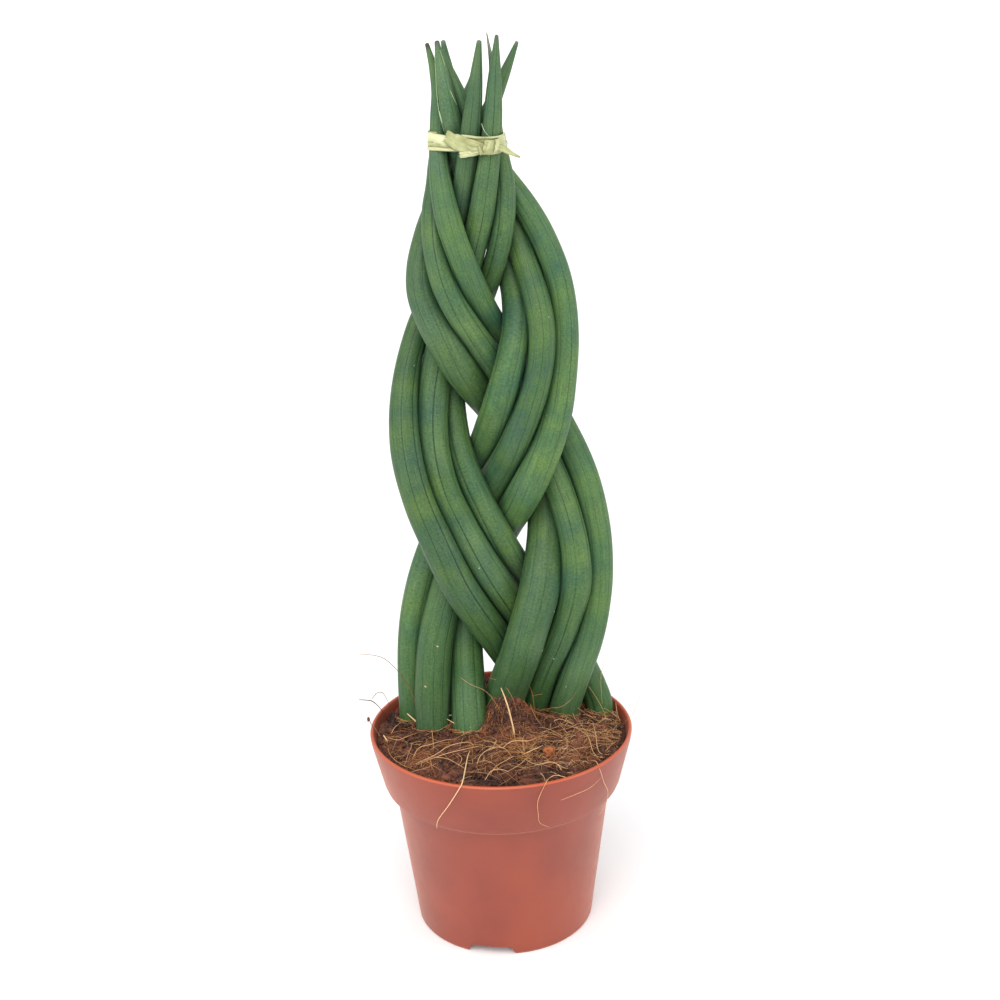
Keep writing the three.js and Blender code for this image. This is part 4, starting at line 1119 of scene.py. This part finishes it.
class SNAKEPLANT_OT_soil(bpy.types.Operator):
    """Build the coir: its grained surface, its crumbs and clods, and a chip of husk"""

    bl_idname = "snake_plant.soil"
    bl_label = "Coir"

    BATCH = 200  # crumbs made at once
    TOP_ABOVE = 90  # the height in millimetres over which the plug's points are its top

    def execute(self, context):
        settings = settings_of(context).soil
        noise.seed_set(NOISE_SEED)
        material = coir_pith(settings)
        piece_of(self.bed(settings), "coir_bed", material, ["soil"])
        piece_of(self.crumbs(settings), "coir_crumbs", material, ["soil"])
        piece_of(self.chip(), "husk_chip", husk_chip(settings), ["soil"])
        return {"FINISHED"}

    def bed(self, settings):
        """The filled pot's soil: a spun plug whose top follows the coir and its grains."""
        rings = settings.rings
        profile = [(0, SOIL_FLOOR), (40.6, SOIL_FLOOR), (42.8, SOIL_FLOOR + 2.2), (51.2, 74), (57, 79)]
        profile += [(SOIL_RADIUS * (1 - i / rings), SOIL_LEVEL) for i in range(rings + 1)]
        bm = turned(profile, settings.sectors)
        bmesh.ops.recalc_face_normals(bm, faces=bm.faces)
        for vert in bm.verts:
            if vert.co.z < self.TOP_ABOVE * MM:
                continue
            x, y = vert.co.x / MM, vert.co.y / MM
            clods = noise.fractal((x * 0.14, y * 0.14, 3.1), 0.9, 2.0, 6)
            pits = noise.fractal((x * 0.55, y * 0.55, 8.4), 0.8, 2.0, 4)
            heap = 1.5 * heap_share(x, y)
            vert.co.z = (soil_height(x, y) + (1.9 + heap) * clods + (1.2 + heap) * pits - 0.6) * MM
        return bm

    def crumbs(self, settings):
        """Loose crumbs and larger clods, half sunk in the coir, and more of them on the heap."""
        draw = random.Random(4)
        bm = bmesh.new()

        def within(spread):
            """A place in a circle round the pot's middle."""
            angle = draw.random() * FULL_TURN
            reach = spread * math.sqrt(draw.random())
            return reach * math.cos(angle), reach * math.sin(angle)

        def heaped():
            """A place on the heap in the middle."""
            x, y, _, spread = HEAP
            return x + draw.gauss(0, spread), y + draw.gauss(0, spread)

        def crumb():
            """The radius of a crumb; most are small."""
            return 0.25 + 0.95 * draw.random() ** 2

        for first in range(0, settings.crumbs, self.BATCH):
            count = min(self.BATCH, settings.crumbs - first)
            self.lumps(bm, draw, count, lambda: within(CRUMB_REACH), 1, crumb)
        self.lumps(bm, draw, settings.clods, lambda: within(CLOD_REACH), 2, lambda: draw.uniform(1.2, 2.4))
        for _ in range(0, settings.heaped, self.BATCH):
            self.lumps(bm, draw, self.BATCH, heaped, 1, lambda: 0.4 + 1.6 * draw.random() ** 2)
        for vert in bm.verts:
            vert.co += noise.noise_vector(vert.co / (0.9 * MM)) * 0.4 * MM
        return bm

    def lumps(self, whole, draw, count, spot, subdivisions, size):
        """Adds a batch of lumps, because a small mesh takes each new one fastest."""
        bm = bmesh.new()
        for _ in range(count):
            place = ground(*spot(), draw.uniform(0, 0.7))
            turn = Matrix.Rotation(draw.random() * FULL_TURN, 4, Vector((draw.random(), draw.random(), 1)))
            sides = [draw.uniform(low, high) for low, high in ((0.6, 1.4), (0.7, 1.3), (0.5, 0.9))]
            lump = Matrix.Translation(place) @ turn @ Matrix.Diagonal((*sides, 1))
            bmesh.ops.create_icosphere(bm, subdivisions=subdivisions, radius=size() * MM, matrix=lump)
        mesh = mesh_of(bm, "lumps")
        whole.from_mesh(mesh)
        bpy.data.meshes.remove(mesh)

    def chip(self):
        """One angular chip of husk, corky all over."""
        bm = bmesh.new()
        x, y, radius = CHIP
        place = Matrix.Translation(ground(x, y, 2.3)) @ Matrix.Diagonal((1.0, 0.85, 0.95, 1))
        bmesh.ops.create_icosphere(bm, subdivisions=4, radius=radius * MM, matrix=place)
        for vert in bm.verts:
            # Broken at three scales, from coarse to fine.
            broken = noise.noise_vector(vert.co / (2.1 * MM)) * 1.3
            broken += noise.noise_vector(vert.co / (0.9 * MM)) * 0.7
            vert.co += (broken * 0.5 + noise.noise_vector(vert.co / (0.4 * MM)) * 0.35) * MM
        return bm


class SNAKEPLANT_OT_fibres(bpy.types.Operator):
    """Lay the coir fibres, the straws and the stray hairs"""

    bl_idname = "snake_plant.fibres"
    bl_label = "Fibres"

    def execute(self, context):
        settings = settings_of(context).soil
        material = coir_fibre(settings)
        thickness = settings.fibre_thickness
        draw = random.Random(7)
        short = Strand(3, 9)
        fine = bmesh.new()
        for _ in range(settings.fibres):
            self.loose_fibre(fine, short, draw, thickness, *self.spot(draw))
        for x, y, radius, count in TUFTS:
            for _ in range(count):
                place = x + draw.gauss(0, radius / 2), y + draw.gauss(0, radius / 2)
                if math.hypot(*place) < TUFT_REACH and not self.bare(*place):
                    self.loose_fibre(fine, short, draw, thickness, *place)
        self.tangle(fine, short, draw, thickness)
        self.mats(fine, short, draw, thickness)
        short.drop()
        piece_of(fine, "coir_fibres", material, ["soil"])

        long = Strand(4, 24)
        loose = bmesh.new()
        for _ in range(settings.long_fibres):
            self.long_fibre(loose, long, draw, thickness)
        for width, tone, spots in LONG_FIBRES:
            long.lay(loose, [ground(*spot) for spot in spots], width * MM, tone)
        for width, tone, spots in HAIRS:
            long.lay(loose, in_metres(spots), width * MM, tone)
        long.drop()
        self.bead(loose)
        piece_of(loose, "straws_and_long_fibres", material, ["soil"])
        return {"FINISHED"}

    def spot(self, draw, spread=58):
        """A place on the coir, more often in front and to the right, where fibres lie thickest."""
        while True:
            angle = draw.random() * FULL_TURN
            radius = spread * math.sqrt(draw.random())
            x, y = radius * math.cos(angle), radius * math.sin(angle)
            thick = 0.35 + 0.65 * clamp(0.5 - y / 60 + x / 130)
            if draw.random() < thick and not self.bare(x, y):
                return x, y

    def bare(self, x, y):
        """Whether a place is in the patch where no fibres lie."""
        middle_x, middle_y, half_width, half_depth = BARE
        return ((x - middle_x) / half_width) ** 2 + ((y - middle_y) / half_depth) ** 2 < 1

    def wander(self, draw, x, y, step, curl, lift, count=8):
        """A path that wanders over the coir, its ends sunk and its middle a little raised."""
        heading = draw.random() * FULL_TURN
        path = []
        for i in range(count):
            path.append(ground(x, y, lift * math.sin(math.pi * i / (count - 1)) - 0.1))
            heading += curl + draw.gauss(0, 0.25)
            nx, ny = x + step * math.cos(heading), y + step * math.sin(heading)
            if math.hypot(nx, ny) > FIBRE_REACH:
                heading += math.pi / 2
                nx, ny = x, y
            x, y = nx, ny
        return path

    def loose_fibre(self, bm, strand, draw, thickness, x, y):
        """One short fibre of the mat."""
        step = draw.uniform(0.7, 3.2)
        lift = abs(draw.gauss(0, 1.2)) + 0.5
        path = self.wander(draw, x, y, step, draw.gauss(0, 0.22), lift)
        golden = 0.15 * max(-1, min(1, x / 50 - y / 60))
        golden -= 0.35 * heap_share(x, y)
        strand.lay(bm, path, thickness * draw.uniform(0.6, 1.4), draw.betavariate(1.5, 1.6) + golden)

    def long_fibre(self, bm, strand, draw, thickness):
        """One longer fibre, in a low open arch."""
        x, y = self.spot(draw, 55)
        step = draw.uniform(2.4, 5.0)
        lift = abs(draw.gauss(0, 1.5)) + 1.0
        path = self.wander(draw, x, y, step, draw.gauss(0, 0.18), lift)
        strand.lay(bm, path, thickness * draw.uniform(0.9, 1.6), draw.uniform(0.45, 0.95))

    def tangle(self, bm, strand, draw, thickness):
        """Short dark fibres that curl out of the heap."""
        x, y, _, spread = HEAP
        for _ in range(TANGLED):
            place = x + draw.gauss(0, spread * 0.9), y + draw.gauss(0, spread * 0.8)
            step, curl, lift = draw.uniform(0.6, 1.6), draw.gauss(0, 0.5), draw.uniform(1.0, 4.0)
            path = self.wander(draw, *place, step, curl, lift)
            strand.lay(bm, path, thickness * draw.uniform(0.8, 1.3), draw.uniform(0.05, 0.6))

    def mats(self, bm, strand, draw, thickness):
        """Fibres that lie round the foot of each leaf."""
        for name in LEAVES:
            rings = leaf_rings(name)
            foot = min(rings, key=lambda ring: abs(ring.z - soil_height(ring.x / MM, ring.y / MM) * MM))
            for _ in range(FOOT_FIBRES):
                angle = draw.uniform(-math.pi, 0)  # the front half
                reach = foot.w / MM + draw.uniform(0.4, 2.0)
                sweep = draw.uniform(0.5, 1.3) * draw.choice((-1, 1))
                lift = draw.uniform(0.4, 2.2)
                path = []
                for i in range(6):
                    turn = angle + sweep * i / 5
                    x = foot.x / MM + reach * 1.08 * math.cos(turn)
                    y = foot.y / MM + reach * 1.08 * math.sin(turn)
                    if math.hypot(x, y) > FIBRE_REACH:
                        break
                    path.append(ground(x, y, lift + draw.uniform(-0.5, 0.5)))
                if len(path) > 3:
                    strand.lay(bm, path, thickness * draw.uniform(0.8, 1.4), draw.uniform(0.4, 0.9))

    def bead(self, bm):
        """The dark seed on its stalk."""
        x, y, z, radius = STALK_BEAD
        place = Matrix.Translation(Vector((x, y, z)) * MM) @ Matrix.Diagonal((0.8, 0.8, 1.3, 1))
        bmesh.ops.create_icosphere(bm, subdivisions=3, radius=radius * MM, matrix=place)


class SNAKEPLANT_OT_tie(bpy.types.Operator):
    """Wind the raffia round the bundle and knot it"""

    bl_idname = "snake_plant.tie"
    bl_label = "Raffia tie"

    def execute(self, context):
        settings = settings_of(context).tie
        self.swell = settings_of(context).leaf.swell
        self.leaves = [self.centre_line(name) for name in LEAVES]
        self.thickness = settings.thickness
        self.strips = 0
        bm = bmesh.new()
        self.strip_uv = bm.loops.layers.uv.new("strip")
        self.tone = bm.verts.layers.float.new("tone")
        self.edge = bm.verts.layers.float.new("edge")
        for tone, edge, frayed, spots in TIE_STRIPS:
            self.strip(bm, self.round_bundle(spots), tone, edge, frayed=frayed)
        for tone, edge, rounded, spots in TIE_KNOT:
            self.strip(bm, self.round_bundle(spots), tone, edge, rounded=rounded, upright=True)
        for tone, edge, frayed, spots in TIE_ENDS:
            self.strip(bm, in_metres(spots), tone, edge, frayed=frayed)
        hair = Strand(4, 24)
        hair.lay(bm, in_metres(TIE_HAIR), 0.2 * MM, 0.9)
        hair.drop()
        bmesh.ops.recalc_face_normals(bm, faces=bm.faces)
        piece_of(bm, "raffia_knotted", raffia_straw(settings), ["raffia_tie"])
        return {"FINISHED"}

    def centre_line(self, name):
        """A leaf's centre line and its skin's radius, finely, from its tip down."""
        points = fine_line(leaf_rings(name))
        for point in points:
            point.w += self.swell + fullness(name, point.z / MM) * MM
        return points

    def round_bundle(self, spots):
        """Points and widths of a strip that lies close round the bundle, between its spots too."""
        fine = 5 * (len(spots) - 1)
        spans = []
        for i in range(fine + 1):
            degrees, height, out, width = along([Vector(spot) for spot in spots], i / fine)
            spans.append(Vector((*self.on_bundle(degrees, height, out), width * MM)))
        return spans

    def on_bundle(self, degrees, height, out):
        """A point outside the bundle's hull, in one direction from its middle, at a height."""
        angle = math.radians(degrees)
        rounds = [min(line, key=lambda point: abs(point.z - height * MM)) for line in self.leaves]
        middle = sum((r.to_3d() for r in rounds), Vector()) / len(rounds)
        reach = math.inf
        for i in range(HULL_DIRECTIONS):
            facing = i * FULL_TURN / HULL_DIRECTIONS
            cosine = math.cos(facing - angle)
            if cosine > 0.05:
                towards = Vector((math.cos(facing), math.sin(facing), 0))
                support = max((r.to_3d() - middle).dot(towards) + r.w for r in rounds)
                reach = min(reach, support / cosine)
        reach += (out + CLEAR_OF_SKIN) * MM
        x, y = middle.x + reach * math.cos(angle), middle.y + reach * math.sin(angle)
        return Vector((x, y, height * MM))

    def strip(self, bm, spans, tone, edge, frayed=0.0, rounded=0.0, upright=False):
        """One strip of raffia: a grid bent along its points, creased, then given its thickness."""
        number = self.strips
        self.strips += 1
        made = bmesh.ops.create_grid(bm, x_segments=max(40, 2 * len(spans)), y_segments=12, size=0.5)
        verts = made["verts"]
        faces = {face for vert in verts for face in vert.link_faces}
        whole = length_of(spans)
        widest = max(span.w for span in spans)
        for face in faces:
            for loop in face.loops:
                co = loop.vert.co
                loop[self.strip_uv].uv = (co.y * widest + number * 0.1, co.x * whole)
        for vert in verts:
            t, share = vert.co.x + 0.5, vert.co.y * 2
            here = along(spans, t)
            tangent = heading_at(spans, t)
            outward = Vector((here.x - TIE_MIDDLE[0] * MM, here.y - TIE_MIDDLE[1] * MM, 0)).normalized()
            if upright:
                across = square_to(tangent, Vector((-outward.y, outward.x, 0)))
                outward = tangent.cross(across)
            else:
                outward = square_to(tangent, outward)
                across = outward.cross(tangent)
            # Long creases, short ones, ridges along the strip, and edges that cup inwards.
            crease = noise.noise((share * 2.2, t * whole / (9 * MM), number * 3.7)) * 0.28
            crease += noise.noise((share * 5, t * whole / (2.4 * MM), number * 1.9)) * 0.16
            crease = max(crease, -0.25)
            ridge = math.sin(share * 9 + number + 1.5 * math.sin(t * 5 + number)) * 0.09
            cup = -(0.35 + rounded) * share * share * min(1, here.w / (4 * MM))
            ragged = 0.0
            if frayed:
                ragged = frayed * max(0, t - 0.8) / 0.2 * noise.noise((share * 4.5, number, 2.0))
            vert.co = (
                here.to_3d()
                + across * share * here.w * 0.5 * (1 + 0.05 * math.sin(t * 17 + number))
                + outward * (crease + ridge + cup) * MM
                + tangent * ragged * MM
            )
            vert[self.tone] = tone + 0.12 * noise.noise((share * 3, t * 6, number))
            vert[self.edge] = edge * max(0, abs(share) - 0.6) / 0.4
        bmesh.ops.solidify(bm, geom=list(faces), thickness=self.thickness)


class SNAKEPLANT_OT_stage(bpy.types.Operator):
    """Set the camera, the pale floor and the soft studio light"""

    bl_idname = "snake_plant.stage"
    bl_label = "Stage"

    CAMERA_AT = (2.6 * MM, -694 * MM, 446 * MM)
    KEY_TOWARDS = (-0.12, -0.8, 0.7)
    SOFTBOX_AT = (0.8, -0.35, 0.5)  # the right one; the left one mirrors it
    SOFTBOX_SIZE = (0.25, 0.9)

    def execute(self, context):
        settings = settings_of(context).stage
        scene = context.scene
        self.camera(scene, settings)
        self.floor()
        self.light(scene, settings)
        scene.view_settings.view_transform = "Standard"
        return {"FINISHED"}

    def camera(self, scene, settings):
        """The camera, in front of the plant and looking down on it."""
        data = bpy.data.cameras.new("camera")
        data.lens = settings.camera_lens
        data.sensor_width = 36
        data.clip_start = 0.01
        camera = placed("camera", data)
        tilt = Matrix.Rotation(math.pi / 2 - settings.camera_pitch, 4, "X")
        roll = Matrix.Rotation(settings.camera_roll, 4, "Z")
        camera.matrix_world = Matrix.Translation(self.CAMERA_AT) @ tilt @ roll
        scene.camera = camera

    def floor(self):
        """A wide, white floor that sweeps up all round, far from the plant."""
        profile = [(0, 0), (1, 0), (2, 0), (3, 0)]
        bend = [math.radians(7.5 * i) for i in range(1, 11)]
        profile += [(3 + 1.5 * math.sin(turn), 1.5 - 1.5 * math.cos(turn)) for turn in bend]
        mesh = mesh_of(turned(profile, 96, unit=1), "floor")
        mesh.shade_smooth()
        mesh.materials.append(plain_material("white_studio_board", "#fafafa", 0.9))
        floor = placed("floor", mesh)

    def light(self, scene, settings):
        """White light from all round, a broad key from the front, and two side softboxes."""
        world = bpy.data.worlds.new("studio")
        scene.world = world
        world.use_nodes = True
        background = world.node_tree.nodes["Background"]
        fill(background, {"Color": (0.97, 0.985, 1, 1), "Strength": settings.sky})
        data = bpy.data.lights.new("key", "SUN")
        data.energy = settings.key
        data.angle = math.radians(50)
        data.color = (1, 0.98, 0.95)
        key = placed("key", data)
        key.matrix_world = Vector(self.KEY_TOWARDS).to_track_quat("Z", "Y").to_matrix().to_4x4()
        x, y, z = self.SOFTBOX_AT
        self.softbox("left", settings.side, (-x, y, z))
        self.softbox("right", settings.side, (x, y, z))

    def softbox(self, name, power, place):
        """One rectangular area light, turned to the middle of the plant."""
        data = bpy.data.lights.new(name, "AREA")
        data.shape = "RECTANGLE"
        data.size, data.size_y = self.SOFTBOX_SIZE
        data.energy = power
        softbox = placed(name, data)
        middle = (SOLIDS_BOX[0] + SOLIDS_BOX[1]) / 2
        away = Vector(place) - middle
        softbox.matrix_world = Matrix.Translation(place) @ away.to_track_quat("Z", "Y").to_matrix().to_4x4()


# ---------------------------------------------------------------- add-on


class SnakePlantSettings(bpy.types.PropertyGroup):
    leaf: PointerProperty(name="Leaves", description="The nine leaves", type=SnakePlantLeafSettings)
    pot: PointerProperty(name="Pot", description="The nursery pot", type=SnakePlantPotSettings)
    soil: PointerProperty(name="Coir", description="The coir and its fibres", type=SnakePlantSoilSettings)
    tie: PointerProperty(name="Tie", description="The raffia tie", type=SnakePlantTieSettings)
    stage: PointerProperty(name="Stage", description="Camera and light", type=SnakePlantStageSettings)


OPERATORS = (
    SNAKEPLANT_OT_stage,
    SNAKEPLANT_OT_pot,
    SNAKEPLANT_OT_soil,
    SNAKEPLANT_OT_fibres,
    SNAKEPLANT_OT_leaves,
    SNAKEPLANT_OT_tie,
)


class SNAKEPLANT_PT_panel(bpy.types.Panel):
    """The plant's pieces and their settings"""

    bl_idname = "SNAKEPLANT_PT_panel"
    bl_label = "Braided Snake Plant"
    bl_space_type = "VIEW_3D"
    bl_region_type = "UI"
    bl_category = "Plant"

    def draw(self, context):
        settings = settings_of(context)
        for operator in OPERATORS:
            self.layout.operator(operator.bl_idname)
        for group in (settings.leaf, settings.pot, settings.soil, settings.tie, settings.stage):
            box = self.layout.box()
            for name in group.__annotations__:
                box.prop(group, name)


CLASSES = (
    SnakePlantLeafSettings,
    SnakePlantPotSettings,
    SnakePlantSoilSettings,
    SnakePlantTieSettings,
    SnakePlantStageSettings,
    SnakePlantSettings,
    *OPERATORS,
    SNAKEPLANT_PT_panel,
)


def register():
    """Registers the classes and adds the settings to the scene."""
    for cls in CLASSES:
        bpy.utils.register_class(cls)
    bpy.types.Scene.snake_plant = PointerProperty(type=SnakePlantSettings)


def unregister():
    """Takes the settings and the classes away again."""
    del bpy.types.Scene.snake_plant
    for cls in reversed(CLASSES):
        bpy.utils.unregister_class(cls)


def main():
    """Builds the whole plant."""
    register()
    for name in [o.name for o in bpy.data.objects if o.type in {"CAMERA", "LIGHT"} or o.name == "Cube"]:
        bpy.data.objects.remove(bpy.data.objects[name])
    bpy.ops.snake_plant.stage()
    bpy.ops.snake_plant.pot()
    bpy.ops.snake_plant.soil()
    bpy.ops.snake_plant.fibres()
    bpy.ops.snake_plant.leaves()
    bpy.ops.snake_plant.tie()


if __name__ == "__main__":
    main()
